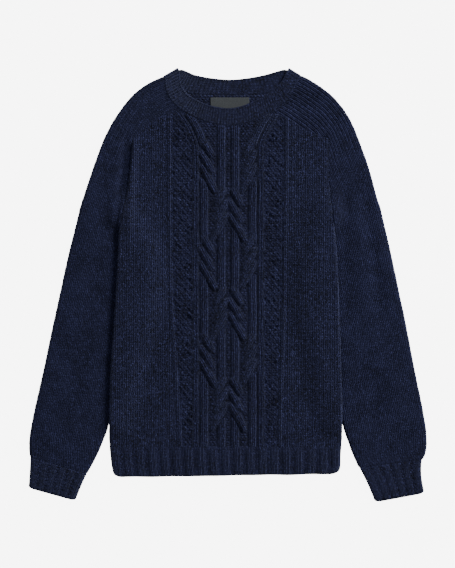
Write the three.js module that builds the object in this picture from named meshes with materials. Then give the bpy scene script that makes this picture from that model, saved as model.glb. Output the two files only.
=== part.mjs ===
// Cable knit sweater lying flat on its back, front upwards.
// Millimetres, +Z up. X runs across the body, Y from hem to neck, Z = 0 is the surface that it lies on.

import * as THREE from "three";

// Cloth and seams
const WALL = 3.0;
const AIR = 1.6; // between the front and the back layer
const SEAM_GAP = 0.3;
const HALF_GAP = SEAM_GAP / 2;

// Heights of the middle of each layer, and the rolled fold that joins them at a side
const BACK_MID = WALL / 2;
const FRONT_MID = BACK_MID + WALL + AIR;
const FOLD_RADIUS = (FRONT_MID - BACK_MID) / 2;
const FOLD_REACH = FOLD_RADIUS + WALL / 2;
const LAID_THICKNESS = FRONT_MID + WALL / 2;

// The body's sides ride over the tucked parts of the sleeves
const LIFT = LAID_THICKNESS + 0.8;
const RAMP_WIDTH = 26;
const TUCK_MARGIN = 8;
const SLEEVE_LIFT_WIDTH = 32;

// Levels on the body
const UNDERARM_Y = 105.6;
const HEM_SEAM_Y = -269;
const ROLL_START_Y = 132; // the side fold opens out into the armhole seam above the underarm
const TUBE_LIFT_END_Y = 70; // a sleeve lies flat again below this height of its inner fold

// Ribs of the hem, the cuffs and the neckband
const RIB_HEIGHT = 1.4;
const HEM_RIBS = 20;
const CUFF_RIBS = 6;
const RIB_START = 0.14; // share of a repeat before the first rib
const RIB_SHAPE = [
  { at: 0, rise: 0 },
  { at: 0.16, rise: 1 },
  { at: 0.56, rise: 1 },
  { at: 0.72, rise: 0 },
];

// Cables on the front: rope ridges that cross between an outer and an inner column on each side
const CABLE_HEIGHT = 2.6;
const COLUMN_WIDTH = 13;
const OUTER_COLUMN_X = 38.4;
const INNER_COLUMN_X = 11.1;
const ROPE_WIDTH = 12.5;
const ROPE_STEP = 20;
const ROPE_DROP = 26;
const ROPES_IN_CROSSING = 3;
const CROSSING_HEIGHT = 64;
const SIDE_RIB_X = 52.2;
const SIDE_RIB_WIDTH = 8;
const SIDE_RIB_HEIGHT = 1.5;
const BORDER_WIDTH = 7;
const BORDER_HEIGHT = 1.0;
const CABLE_ROWS = 68;
const GAP_COLUMNS = [0.41, 0.59]; // shares of the way from the inner column to the outer one
const PLAIN_COLUMNS = { from: -68, to: 67, count: 11 }; // between the saddles, where there is no relief
const HEM_COLUMNS = { from: 0, to: 1, count: 7 };

// Tops of the crossings down the front. toward says which column the ropes run to.
const CROSSINGS = [
  { top: 231, toward: "inner" },
  { top: 153.5, toward: "outer" },
  { top: 69.5, toward: "inner" },
  { top: -8.5, toward: "outer" },
  { top: -92.5, toward: "inner" },
  { top: -170, toward: "outer" },
];

// Outline of the body: its two side edges
const BODY_SIDES = [
  { y: 240, left: -158, right: 164.6 },
  { y: 188, left: -162.5, right: 165.2 },
  { y: 147, left: -168.7, right: 168 },
  { y: 105.6, left: -177, right: 172.8 },
  { y: 64, left: -180.3, right: 177 },
  { y: 23, left: -182.2, right: 179.4 },
  { y: -59, left: -187, right: 182.7 },
  { y: -142, left: -193.2, right: 185.2 },
  { y: -224, left: -195.1, right: 186.9 },
  { y: -257, left: -195.1, right: 186.2 },
  { y: -282, left: -193.5, right: 184.6 },
  { y: -304, left: -190.6, right: 183.4 },
  { y: -317, left: -187.4, right: 179.4 },
];
const HEM_EDGE_LEFT_Y = -316.5;
const HEM_EDGE_RIGHT_Y = -311.5;

// How far a sleeve lies under the body, and how much of the lift the side has there
const TUCKS = [
  { y: 240, tuck: 0, lifted: 0 },
  { y: 172, tuck: 0, lifted: 0 },
  { y: 110, tuck: 0, lifted: 1 },
  { y: 74, tuck: 0, lifted: 1 },
  { y: 31, tuck: 36, lifted: 1 },
  { y: -10, tuck: 38, lifted: 1 },
  { y: -59, tuck: 32, lifted: 1 },
  { y: -142, tuck: 14, lifted: 1 },
  { y: -210, tuck: 3, lifted: 1 },
  { y: -222, tuck: 0, lifted: 1 },
  { y: -266, tuck: 0, lifted: 0 },
  { y: -320, tuck: 0, lifted: 0 },
];

// Border of the moss columns, from the saddle seam to the hem
const MOSS_BORDERS = [
  { y: 281, left: -97, right: 96.5 },
  { y: 120, left: -97, right: 94.5 },
  { y: -26, left: -94.5, right: 92 },
  { y: -140, left: -87.5, right: 88 },
  { y: -269, left: -79, right: 84.5 },
];

// Saddle and armhole seams. front and back are the seams on the body, fold is the shoulder's outer edge.
const SADDLE_LEFT = [
  { front: [-68.1, 280.5], fold: [-107.7, 342.4], back: [-68.1, 314.2] },
  { front: [-96.1, 279.8], fold: [-132.4, 330.8], back: [-96.1, 303] },
  { front: [-118.4, 271.5], fold: [-155.5, 313.6], back: [-118.4, 290] },
  { front: [-139, 257], fold: [-175.3, 290.8], back: [-139, 269] },
  { front: [-158, 240], fold: [-192.2, 265.2], back: [-158, 240] },
];
const SADDLE_RIGHT = [
  { front: [67.2, 280.5], fold: [120, 344], back: [67.2, 314.6] },
  { front: [92.3, 277.5], fold: [138.5, 333.6], back: [92.3, 305] },
  { front: [117.5, 260.5], fold: [156.5, 321.6], back: [117.5, 291] },
  { front: [141.5, 247.5], fold: [175, 306], back: [141.5, 270] },
  { front: [164.6, 240], fold: [192.6, 284], back: [164.6, 240] },
];

// Outer fold of each sleeve beside the armhole
const ARMHOLE_LEFT = [
  { y: 214, fold: [-204.8, 240] },
  { y: 188, fold: [-214.9, 212.8] },
  { y: 160, fold: [-223.8, 187] },
  { y: 132, fold: [-232.8, 160] },
  { y: 105.6, fold: [-243, 128.7] },
];
const ARMHOLE_RIGHT = [
  { y: 214, fold: [204.6, 262.5] },
  { y: 188, fold: [213.6, 239.4] },
  { y: 160, fold: [221.8, 216] },
  { y: 132, fold: [231.2, 188] },
  { y: 105.6, fold: [243.8, 142] },
];

// Sleeves below the underarm: the fold inside, under the body where it starts, and the fold outside
const TUBE_LEFT = [
  { inner: [-178.6, 96], outer: [-246.8, 114] },
  { inner: [-179.6, 85], outer: [-250.6, 98] },
  { inner: [-180, 73], outer: [-254.4, 83] },
  { inner: [-173, 60], outer: [-258.2, 68] },
  { inner: [-146.5, 30], outer: [-265.8, 36] },
  { inner: [-144.5, -10], outer: [-275.4, -8] },
  { inner: [-154.5, -59], outer: [-287.2, -62] },
  { inner: [-178.8, -142], outer: [-302.9, -136] },
  { inner: [-192, -200], outer: [-313.6, -184] },
  { inner: [-198.6, -234.3], outer: [-320.3, -214] },
  { inner: [-205.6, -254.1], outer: [-325.2, -240] },
  { inner: [-213.6, -273.9], outer: [-327.6, -258] },
  { inner: [-223.4, -293.7], outer: [-327.6, -275] },
  { inner: [-233.9, -313], outer: [-326.2, -287.1] },
];
const TUBE_RIGHT = [
  { inner: [174.4, 96], outer: [248.8, 127] },
  { inner: [175.6, 85], outer: [252.9, 110] },
  { inner: [176.8, 73], outer: [257, 93] },
  { inner: [170, 60], outer: [261, 76] },
  { inner: [143, 30], outer: [268.9, 41] },
  { inner: [142, -10], outer: [278.6, -6] },
  { inner: [151, -59], outer: [289.8, -58] },
  { inner: [171.6, -142], outer: [304.4, -134] },
  { inner: [184, -198], outer: [315, -186] },
  { inner: [191.2, -234.3], outer: [320.6, -214] },
  { inner: [197.8, -254.1], outer: [324.6, -240] },
  { inner: [204.8, -273.9], outer: [325.9, -262] },
  { inner: [211.6, -290], outer: [323.6, -279] },
  { inner: [217.4, -303.6], outer: [319, -291] },
];

// Cuffs, from their seam to the hand
const CUFF_LEFT = [
  { inner: [-233.9, -313], outer: [-326.2, -287.1] },
  { inner: [-243.2, -333.3], outer: [-327.4, -312] },
  { inner: [-252.4, -355.8], outer: [-329, -335.4] },
];
const CUFF_RIGHT = [
  { inner: [217.4, -303.6], outer: [319, -291] },
  { inner: [229.6, -328], outer: [318.4, -316] },
  { inner: [242.6, -358.2], outer: [322.6, -343.4] },
];

// Neckband: its seam to the body and its free edge, each from the left fold to the right fold. The end
// points are the middles of the folds, and a rib runs from each seam point to the free point of its number.
const BAND_FRONT_SEAM = [
  [-105.9, 339], [-102.7, 316.8], [-89.5, 296], [-68.1, 280.5], [-46.2, 270.6], [-23.4, 263.4], [0, 261],
  [23, 263.4], [45.8, 270.6], [67.2, 280.5], [88, 294], [104, 314], [118.2, 340.6],
];
const BAND_FRONT_FREE = [
  [-80.2, 352.6], [-77.5, 330], [-68, 314.5], [-53.5, 304.4], [-38, 297.5], [-20, 292.2], [2, 289.8],
  [22, 293.4], [42, 301.5], [58.5, 309.8], [74, 321], [87.5, 334], [96.8, 352.2],
];
const BAND_BACK_SEAM = [
  [-105.9, 339], [-91, 322], [-68.1, 314.2], [-36, 311.8], [0, 311.2],
  [34, 311.8], [67.2, 314.6], [99, 323.5], [118.2, 340.6],
];
const BAND_BACK_FREE = [
  [-80.2, 352.6], [-70, 350.4], [-54, 344.8], [-28, 339.8], [2.9, 337.2],
  [31, 339.6], [58, 344.5], [82, 350.4], [96.8, 352.2],
];
const BAND_FRONT_CORNERS = [3, 9]; // numbers of the points where the saddles meet the front
const BAND_BACK_CORNERS = [2, 6];
const BAND_FRONT_RIBS = 32;
const BAND_BACK_RIBS = 26;
const BAND_RIB_HEIGHT = 0.9;

// Woven label inside the back of the neck
const LABEL_LEFT_X = -29.5;
const LABEL_RIGHT_X = 34.5;
const LABEL_TOP_Y = 307.5;
const LABEL_BOTTOM_Y = 283;
const LABEL_THICKNESS = 0.6;

const NAVY = new THREE.Color(0x1b2032);
const LABEL_GREY = new THREE.Color(0x363d42);

// Small arithmetic

const lerp = (a, b, t) => a + (b - a) * t;

function smooth(t) {
  const u = Math.min(1, Math.max(0, t));
  return u * u * (3 - 2 * u);
}

// Smooth value of one named column of a table whose rows run down in y.
function columnAt(table, name, y) {
  const last = table.length - 1;
  if (y >= table[0].y) return table[0][name];
  if (y <= table[last].y) return table[last][name];
  const i = table.findIndex((row, k) => k < last && y <= row.y && y > table[k + 1].y);
  const slope = (k) => {
    const a = table[Math.max(0, k - 1)];
    const b = table[Math.min(last, k + 1)];
    return (b[name] - a[name]) / (b.y - a.y);
  };
  const [a, b] = [table[i], table[i + 1]];
  const span = b.y - a.y;
  const t = (y - a.y) / span;
  const s = smooth(t);
  const ends = t * (1 - t) * (1 - t) * span * slope(i) - t * t * (1 - t) * span * slope(i + 1);
  return a[name] + (b[name] - a[name]) * s + ends;
}

// Plain straight-line value of one named column.
function straightColumnAt(table, name, y) {
  const last = table.length - 1;
  if (y >= table[0].y) return table[0][name];
  if (y <= table[last].y) return table[last][name];
  const i = table.findIndex((row, k) => k < last && y <= row.y && y > table[k + 1].y);
  return lerp(table[i][name], table[i + 1][name], (table[i].y - y) / (table[i].y - table[i + 1].y));
}

const flatVector = ([x, y]) => new THREE.Vector3(x, y, 0);

const curveThrough = (points) => new THREE.CatmullRomCurve3(points.map(flatVector));

// Even steps between two ends, without the ends.
const spread = ({ from, to, count }) =>
  Array.from({ length: count }, (_, i) => lerp(from, to, (i + 1) / (count + 1)));

// Height at x of a line of points that runs from left to right.
function heightOnLine(points, x) {
  const i = Math.max(1, points.findIndex((p) => p.x > x));
  const [a, b] = x >= points.at(-1).x ? points.slice(-2) : [points[i - 1], points[i]];
  return lerp(a.y, b.y, (x - a.x) / (b.x - a.x));
}

// A closed slab between an outer and an inner surface. Each surface is a row of lines of points, and two
// neighbouring lines may have different numbers of points.
class Slab {
  constructor() {
    this.positions = [];
    this.faces = [];
  }

  addLine(line) {
    return line.map((point) => this.positions.push(point) - 1);
  }

  // Where each point lies along its line, from 0 to 1: by its number, or else by its distance.
  shares(line, byNumber) {
    if (byNumber) return line.map((_, i) => i / (line.length - 1));
    const lengths = [0];
    for (let i = 1; i < line.length; i += 1) {
      lengths.push(lengths[i - 1] + this.positions[line[i]].distanceTo(this.positions[line[i - 1]]));
    }
    return lengths.map((length) => length / lengths.at(-1));
  }

  zip(a, b) {
    const paired = a.length === b.length;
    const [along, beside] = [this.shares(a, paired), this.shares(b, paired)];
    let i = 0;
    let j = 0;
    while (i < a.length - 1 || j < b.length - 1) {
      const stepA = j === b.length - 1 || (i < a.length - 1 && along[i + 1] <= beside[j + 1] + 1e-6);
      if (stepA) {
        this.faces.push([a[i], a[i + 1], b[j]]);
        i += 1;
      } else {
        this.faces.push([a[i], b[j + 1], b[j]]);
        j += 1;
      }
    }
  }

  build(outerLines, innerLines, ring = false) {
    const outer = outerLines.map((line) => this.addLine(line));
    const inner = innerLines.map((line) => this.addLine(line));
    if (ring) {
      outer.push(outer[0]);
      inner.push(inner[0]);
    }
    for (let k = 0; k < outer.length - 1; k += 1) this.zip(outer[k], outer[k + 1]);
    for (let k = 0; k < inner.length - 1; k += 1) this.zip(inner[k + 1], inner[k]);
    if (!ring) {
      this.zip(inner[0], outer[0]);
      this.zip(outer.at(-1), inner.at(-1));
    }
    this.zip(outer.map((line) => line[0]), inner.map((line) => line[0]));
    this.zip(inner.map((line) => line.at(-1)), outer.map((line) => line.at(-1)));
    return this.toGeometry();
  }

  toGeometry() {
    const corner = (index) => this.positions[index];
    const volume = this.faces.reduce((sum, [a, b, c]) => {
      const across = new THREE.Vector3().crossVectors(corner(b), corner(c));
      return sum + corner(a).dot(across);
    }, 0);
    const order = this.faces.map(([a, b, c]) => (volume > 0 ? [a, b, c] : [a, c, b]));
    const geometry = new THREE.BufferGeometry();
    geometry.setAttribute(
      "position",
      new THREE.Float32BufferAttribute(this.positions.flatMap((p) => [p.x, p.y, p.z]), 3),
    );
    geometry.setIndex(order.flat());
    geometry.computeVertexNormals();
    return geometry;
  }
}

// A place on the middle of a wall: its point and the direction that faces out
const place = (x, y, z, nx, ny, nz) => ({
  point: new THREE.Vector3(x, y, z),
  normal: new THREE.Vector3(nx, ny, nz).normalize(),
});

const outerPoint = ({ point, normal }, rise = 0) => point.clone().addScaledVector(normal, WALL / 2 + rise);
const innerPoint = ({ point, normal }) => point.clone().addScaledVector(normal, -WALL / 2);

// Body

// Bend of a layer's edge: a quarter turn where the side is folded, none where the armhole seam is.
const edgeBend = (y) => (Math.PI / 2) * (1 - smooth((y - UNDERARM_Y) / (ROLL_START_Y - UNDERARM_Y)));
const ROLL_LENGTH = (FOLD_RADIUS * Math.PI) / 2;
const ROLL_STEPS = [0, 0.33, 0.67, 1];

// Section of a layer's edge: how far in from the seam a place lies, how far it has dropped and its slant.
function edgeRoll(bend, along) {
  const radius = ROLL_LENGTH / Math.max(bend, 0.01);
  const turned = bend * (1 - along);
  const fullDrop = radius * (1 - Math.cos(bend));
  const roomToDrop = FOLD_RADIUS - HALF_GAP - (WALL / 2) * Math.cos(bend);
  const eased = fullDrop > roomToDrop ? roomToDrop / fullDrop : 1;
  return {
    inset: HALF_GAP + (WALL / 2) * Math.sin(bend) + radius * (Math.sin(bend) - Math.sin(turned)),
    drop: eased * radius * (1 - Math.cos(turned)),
    turned,
  };
}

function bodyLift(x, y) {
  const inset = Math.min(x - columnAt(BODY_SIDES, "left", y), columnAt(BODY_SIDES, "right", y) - x);
  const beyondTuck = inset - columnAt(TUCKS, "tuck", y) - TUCK_MARGIN;
  return LIFT * smooth(straightColumnAt(TUCKS, "lifted", y)) * (1 - smooth(beyondTuck / RAMP_WIDTH));
}

// A place on one layer of the body. A column is a side with a share of its roll, or an x of its own.
function bodyPlace(layer, column, y) {
  const up = layer === "front" ? 1 : -1;
  const mid = layer === "front" ? FRONT_MID : BACK_MID;
  if (column.side) {
    const seam = columnAt(BODY_SIDES, column.side, y);
    const inward = column.side === "left" ? 1 : -1;
    const roll = edgeRoll(edgeBend(y), column.along);
    const x = seam + inward * roll.inset;
    const z = mid - up * roll.drop + bodyLift(seam, y);
    return place(x, y, z, -inward * Math.sin(roll.turned), 0, up * Math.cos(roll.turned));
  }
  const x = column.x(y);
  const slope = (bodyLift(x + 1, y) - bodyLift(x - 1, y)) / 2;
  return place(x, y, mid + bodyLift(x, y), -slope * up, 0, up);
}

// Seams at the top of each layer

const SADDLE_STEP = 0.5;

function saddleSeam(saddle, seam) {
  const curve = curveThrough(saddle.map((row) => row[seam]));
  const steps = (saddle.length - 1) / SADDLE_STEP;
  return Array.from({ length: steps + 1 }, (_, i) => curve.getPoint(i / steps));
}

function neckSeam(points, from, to, spacing) {
  const dense = curveThrough(points).getSpacedPoints(600);
  const inside = dense.filter((p) => p.x > from + 1 && p.x < to - 1);
  const every = Math.max(1, Math.round(spacing / (inside[1].x - inside[0].x)));
  return inside.filter((_, i) => i % every === 0);
}

function topSeam(seam, neckPoints) {
  const left = saddleSeam(SADDLE_LEFT, seam).reverse();
  const right = saddleSeam(SADDLE_RIGHT, seam);
  return [...left, ...neckSeam(neckPoints, left.at(-1).x, right[0].x, 3), ...right];
}

// Columns of the body between the rolled sides

const MOSS_INSIDE_X = SIDE_RIB_X + SIDE_RIB_WIDTH / 2 + 3;

function shoulderColumn(top, side) {
  const sign = Math.sign(top.x);
  const border = (y) => columnAt(MOSS_BORDERS, side, y);
  const seam = (y) => columnAt(BODY_SIDES, side, y);
  if (Math.abs(top.x) > Math.abs(border(top.y))) {
    const share = (top.x - seam(top.y)) / (border(top.y) - seam(top.y));
    return { x: (y) => lerp(seam(y), border(y), share), top };
  }
  const share = (top.x - border(top.y)) / (sign * MOSS_INSIDE_X - border(top.y));
  return { x: (y) => lerp(border(y), sign * MOSS_INSIDE_X, share), top };
}

const rollColumns = (side, steps) => steps.map((along) => ({ side, along }));

const BODY_BOTTOM_Y = HEM_SEAM_Y + HALF_GAP;

// Levels that both layers share where the sides are lifted
const SIDE_LEVELS = [
  BODY_BOTTOM_Y, -255, -244, -233, -222, -200, -160, -110, -60, -10, 31, 52, 74, 90, UNDERARM_Y,
  119, ROLL_START_Y, 152, 172, 190, 215,
];
const LEAST_LEVEL_STEP = 6;

// One line of places up a column, from the hem seam to the seam at the top.
function bodyLine(layer, column, seam, toPoint) {
  const topX = column.side ? bodyPlace(layer, column, BODY_SIDES[0].y).point.x : column.x(seam[0].y);
  const top = heightOnLine(seam, column.top ? column.top.x : topX) - SEAM_GAP;
  const levels = column.rows
    ? Array.from({ length: column.rows }, (_, i) => lerp(BODY_BOTTOM_Y, top, i / column.rows))
    : SIDE_LEVELS.filter((y) => y < top - LEAST_LEVEL_STEP);
  return [...levels, top].map((y) => toPoint(bodyPlace(layer, column, y)));
}

// Relief of the cables

const bump = (distance, width, height) => height * Math.max(0, 1 - ((2 * distance) / width) ** 2);

function distanceToPath(x, y, path) {
  let nearest = Infinity;
  for (let i = 1; i < path.length; i += 1) {
    const [[ax, ay], [bx, by]] = [path[i - 1], path[i]];
    const [dx, dy] = [bx - ax, by - ay];
    const t = Math.min(1, Math.max(0, ((x - ax) * dx + (y - ay) * dy) / (dx * dx + dy * dy)));
    nearest = Math.min(nearest, Math.hypot(x - ax - t * dx, y - ay - t * dy));
  }
  return nearest;
}

// The ropes of each crossing as paths on one side, with x counted from the middle of the front.
function ropePaths() {
  const paths = [[[68, 279], [51.6, 249], [29, 216]]];
  for (const { top, toward } of CROSSINGS) {
    const [from, to] = toward === "inner"
      ? [OUTER_COLUMN_X + 1.6, INNER_COLUMN_X + COLUMN_WIDTH]
      : [INNER_COLUMN_X - 5, OUTER_COLUMN_X - COLUMN_WIDTH];
    for (let k = 0; k < ROPES_IN_CROSSING; k += 1) {
      const start = top - k * ROPE_STEP;
      paths.push([[from, start], [to, start - ROPE_DROP]]);
    }
  }
  return paths;
}

const ROPES = ropePaths();

function straightColumnRise(x, y, center, crossing) {
  const crossed = CROSSINGS.some(
    ({ top, toward }) => toward === crossing && y < top && y > top - CROSSING_HEIGHT,
  );
  const aboveFirst = crossing === "inner" && y >= CROSSINGS[0].top;
  return crossed || aboveFirst ? 0 : bump(Math.abs(x - center), COLUMN_WIDTH, CABLE_HEIGHT);
}

function cableRise(x, y) {
  const side = Math.abs(x);
  const rises = [
    straightColumnRise(side, y, OUTER_COLUMN_X, "inner"),
    straightColumnRise(side, y, INNER_COLUMN_X, "outer"),
    y < CROSSINGS[0].top ? bump(Math.abs(side - SIDE_RIB_X), SIDE_RIB_WIDTH, SIDE_RIB_HEIGHT) : 0,
    ...ROPES.map((path) => bump(distanceToPath(side, y, path), ROPE_WIDTH, CABLE_HEIGHT)),
  ];
  return Math.max(...rises);
}

// Panels

const clothMaterial = () => new THREE.MeshStandardMaterial({ color: NAVY, roughness: 0.95, metalness: 0 });

// The upright lines of the ropes, columns and ribs, from the middle of the front outwards
function cableColumnsX() {
  const half = [0];
  const acrossRidge = (center, width, parts) => {
    for (let i = 0; i <= parts; i += 1) half.push(center - width / 2 + (width * i) / parts);
  };
  acrossRidge(INNER_COLUMN_X, COLUMN_WIDTH, 3);
  half.push(...GAP_COLUMNS.map((share) => lerp(INNER_COLUMN_X, OUTER_COLUMN_X, share)));
  acrossRidge(OUTER_COLUMN_X, COLUMN_WIDTH, 3);
  acrossRidge(SIDE_RIB_X, SIDE_RIB_WIDTH, 2);
  return [...half.slice(1).map((x) => -x).reverse(), ...half];
}

function bodyColumns(seamName, middle, rows) {
  const sides = ["left", "right"].map((side) => {
    const saddle = side === "left" ? SADDLE_LEFT : SADDLE_RIGHT;
    const tops = saddleSeam(saddle, seamName).slice(0, -1);
    const shoulder = tops.map((top) => shoulderColumn(top, side));
    return [...shoulder, ...rollColumns(side, [...ROLL_STEPS].reverse())];
  });
  const between = middle.map((x) => ({ x: () => x, rows }));
  return [...sides[0].reverse(), ...between, ...sides[1]];
}

function frontPanel() {
  const seam = topSeam("front", BAND_FRONT_SEAM);
  const rise = ({ x, y }) => cableRise(x, y) + borderRise(x, y);
  const relief = (at) => outerPoint(at, rise(at.point));
  const fine = bodyColumns("front", cableColumnsX(), CABLE_ROWS);
  const plain = bodyColumns("front", spread(PLAIN_COLUMNS), 5);
  return new Slab().build(
    fine.map((column) => bodyLine("front", column, seam, relief)),
    plain.map((column) => bodyLine("front", column, seam, innerPoint)),
  );
}

function borderRise(x, y) {
  const border = columnAt(MOSS_BORDERS, x < 0 ? "left" : "right", y);
  return Math.abs(x) > MOSS_INSIDE_X ? bump(Math.abs(x - border), BORDER_WIDTH, BORDER_HEIGHT) : 0;
}

function backPanel() {
  const seam = topSeam("back", BAND_BACK_SEAM);
  const columns = bodyColumns("back", spread(PLAIN_COLUMNS), 3);
  return new Slab().build(
    columns.map((column) => bodyLine("back", column, seam, outerPoint)),
    columns.map((column) => bodyLine("back", column, seam, innerPoint)),
  );
}

// Hem: ribs run up from the edge, and the front's stand proud

const HEM_TOP_Y = HEM_SEAM_Y - HALF_GAP;
const HEM_LEVELS = [0, 0.5, 1];

function hemEdgeY(x) {
  const { left, right } = BODY_SIDES.at(-1);
  return lerp(HEM_EDGE_LEFT_Y, HEM_EDGE_RIGHT_Y, (x - left) / (right - left));
}

function hemLine(layer, column, toPoint) {
  const seamX = column.side ? columnAt(BODY_SIDES, column.side, HEM_TOP_Y) : column.x(HEM_TOP_Y);
  const heights = HEM_LEVELS.map((level) => lerp(HEM_TOP_Y, hemEdgeY(seamX), level));
  return heights.map((y) => toPoint(bodyPlace(layer, column, y)));
}

function hemColumn(share, rise) {
  const flat = (side, y) => bodyPlace("front", { side, along: 1 }, y).point.x;
  return { x: (y) => lerp(flat("left", y), flat("right", y), share), rise };
}

function ribShares(count) {
  const shares = [];
  for (let rib = 0; rib < count; rib += 1) {
    for (const { at, rise } of RIB_SHAPE) shares.push({ share: (rib + RIB_START + at) / count, rise });
  }
  return shares;
}

function hem(layer) {
  const ribbed = layer === "front";
  const plain = spread(HEM_COLUMNS).map((share) => ({ share, rise: 0 }));
  const ribs = ribbed ? ribShares(HEM_RIBS) : plain;
  const columns = [
    ...rollColumns("left", ROLL_STEPS),
    ...ribs.map(({ share, rise }) => hemColumn(share, rise)),
    ...rollColumns("right", [...ROLL_STEPS].reverse()),
  ];
  const inside = [
    ...rollColumns("left", ROLL_STEPS),
    ...plain.map(({ share }) => hemColumn(share, 0)),
    ...rollColumns("right", [...ROLL_STEPS].reverse()),
  ];
  const ribbedLine = (column) => hemLine(layer, column, (at) => outerPoint(at, (column.rise ?? 0) * RIB_HEIGHT));
  return new Slab().build(
    columns.map(ribbedLine),
    inside.map((column) => hemLine(layer, column, innerPoint)),
  );
}

// Sleeves. A row is a section across the sleeve, from its front seam round the outer fold to its back seam.

const FOLD_TURNS = [0.25, 0.5, 0.75];

function bandSpan(points, corner, end) {
  const curve = curveThrough(points);
  const last = points.length - 1;
  return (share) => curve.getPoint(lerp(corner, end, share) / last);
}

// How far the top of a sleeve, which follows the neckband, bows away from a straight section
function saddleBows(side) {
  const pick = side === "left" ? 0 : 1;
  const bowOf = (points, corners) => {
    const at = bandSpan(points, corners[pick], side === "left" ? 0 : points.length - 1);
    const [start, end] = [at(0), at(1)];
    return (share) => at(share).sub(start.clone().lerp(end, share));
  };
  return {
    front: bowOf(BAND_FRONT_SEAM, BAND_FRONT_CORNERS),
    back: bowOf(BAND_BACK_SEAM, BAND_BACK_CORNERS),
  };
}

// Turns the rows' outer folds into fold middles, each with the direction that faces away from the sleeve.
function withFoldMiddles(rows, side) {
  const turn = side === "left" ? 1 : -1;
  return rows.map((row, i) => {
    const before = rows[Math.max(0, i - 1)].fold;
    const after = rows[Math.min(rows.length - 1, i + 1)].fold;
    const along = after.clone().sub(before).normalize();
    const outward = row.outward ?? new THREE.Vector3(along.y * turn, -along.x * turn, 0);
    const middle = row.middle ?? row.fold.clone().addScaledVector(outward, -FOLD_REACH);
    return { ...row, outward, middle };
  });
}

function bandFoldOutward(side) {
  const pick = side === "left" ? 0 : BAND_FRONT_SEAM.length - 1;
  const axis = flatVector(BAND_FRONT_FREE[pick]).sub(flatVector(BAND_FRONT_SEAM[pick])).normalize();
  return side === "left" ? new THREE.Vector3(-axis.y, axis.x, 0) : new THREE.Vector3(axis.y, -axis.x, 0);
}

function sleeveRows(side) {
  const left = side === "left";
  const saddle = left ? SADDLE_LEFT : SADDLE_RIGHT;
  const armhole = left ? ARMHOLE_LEFT : ARMHOLE_RIGHT;
  const tube = left ? TUBE_LEFT : TUBE_RIGHT;
  const [fronts, folds, backs] = ["front", "fold", "back"].map((name) => saddleSeam(saddle, name));
  const bows = saddleBows(side);
  const bandEnd = flatVector(BAND_FRONT_SEAM[left ? 0 : BAND_FRONT_SEAM.length - 1]);
  const rows = fronts.map((front, i) => ({
    front, back: backs[i], fold: folds[i], bend: 0, lift: 0, bows,
    bow: Math.max(0, 1 - i * SADDLE_STEP) ** 2,
    ...(i === 0 ? { middle: bandEnd, outward: bandFoldOutward(side) } : {}),
  }));
  for (const { y, fold } of armhole) {
    const seam = new THREE.Vector3(columnAt(BODY_SIDES, side, y), y, 0);
    rows.push({
      front: seam, back: seam, fold: flatVector(fold), bend: edgeBend(y), lift: bodyLift(seam.x, y), bow: 0,
    });
  }
  const cuffBelow = (left ? CUFF_LEFT : CUFF_RIGHT)[1];
  for (const { inner, outer } of [...tube, cuffBelow]) rows.push(tubeRow(inner, outer));
  return withFoldMiddles(rows, side).slice(0, -1);
}

function tubeRow(inner, outer) {
  const fall = smooth((inner[1] - TUBE_LIFT_END_Y) / (UNDERARM_Y - TUBE_LIFT_END_Y));
  const seam = flatVector(inner);
  return { front: seam, back: seam, fold: flatVector(outer), bend: Math.PI / 2, lift: LIFT * fall, bow: 0 };
}

// A place on a sleeve's section. A spot is on a layer, by its roll or its share of the way, or on the fold.
function sleevePlace(row, spot) {
  if (spot.turn !== undefined) {
    const angle = spot.turn * Math.PI;
    const reach = FOLD_RADIUS * Math.sin(angle);
    const { x, y } = row.middle.clone().addScaledVector(row.outward, reach);
    const z = BACK_MID + FOLD_RADIUS * (1 + Math.cos(angle));
    const { x: nx, y: ny } = row.outward.clone().multiplyScalar(Math.sin(angle));
    return place(x, y, z, nx, ny, Math.cos(angle));
  }
  const up = spot.layer === "front" ? 1 : -1;
  const seam = row[spot.layer];
  const across = row.middle.clone().sub(seam);
  const width = across.length();
  across.normalize();
  const roll = edgeRoll(row.bend, spot.along ?? 1);
  const distance = spot.share === undefined ? roll.inset : lerp(roll.inset, width, spot.share);
  const { x, y } = seam.clone().addScaledVector(across, distance);
  const bow = row.bow ? row.bows[spot.layer](distance / width) : new THREE.Vector3();
  bow.multiplyScalar(row.bow);
  const raised = (d) => row.lift * (1 - smooth(d / SLEEVE_LIFT_WIDTH));
  const slope = (raised(distance + 1) - raised(distance - 1)) / 2;
  const rolled = spot.share === undefined;
  const z = (up > 0 ? FRONT_MID : BACK_MID) - up * (rolled ? roll.drop : 0) + raised(distance);
  const lean = rolled ? -Math.sin(roll.turned) : -slope * up;
  const rise = rolled ? up * Math.cos(roll.turned) : up;
  return place(x + bow.x, y + bow.y, z, across.x * lean, across.y * lean, rise);
}

function sectionSpots(frontShares, backShares) {
  return [
    ...ROLL_STEPS.map((along) => ({ layer: "front", along })),
    ...frontShares.map(({ share, rise }) => ({ layer: "front", share, rise })),
    ...FOLD_TURNS.map((turn) => ({ turn })),
    ...[...backShares].reverse().map(({ share }) => ({ layer: "back", share })),
    ...[...ROLL_STEPS].reverse().map((along) => ({ layer: "back", along })),
  ];
}

const evenShares = (count) => Array.from({ length: count }, (_, i) => ({ share: (i + 1) / count }));

// Moves the first row of lines away from the neighbour, to leave the seam's gap.
const SADDLE_STEP_OFF = {
  left: new THREE.Vector3(-SEAM_GAP, -0.25, 0),
  right: new THREE.Vector3(SEAM_GAP, -0.25, 0),
};

function leaveGap(lines, step) {
  return [lines[0].map((point) => point.clone().add(step)), ...lines.slice(1)];
}

const NECK_ROWS = 3; // rows that follow the neckband's curve
const NECK_PARTS = 8; // parts of a layer's width in those rows
const SLEEVE_PARTS = 4;
const CUFF_BACK_PARTS = 3;

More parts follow.
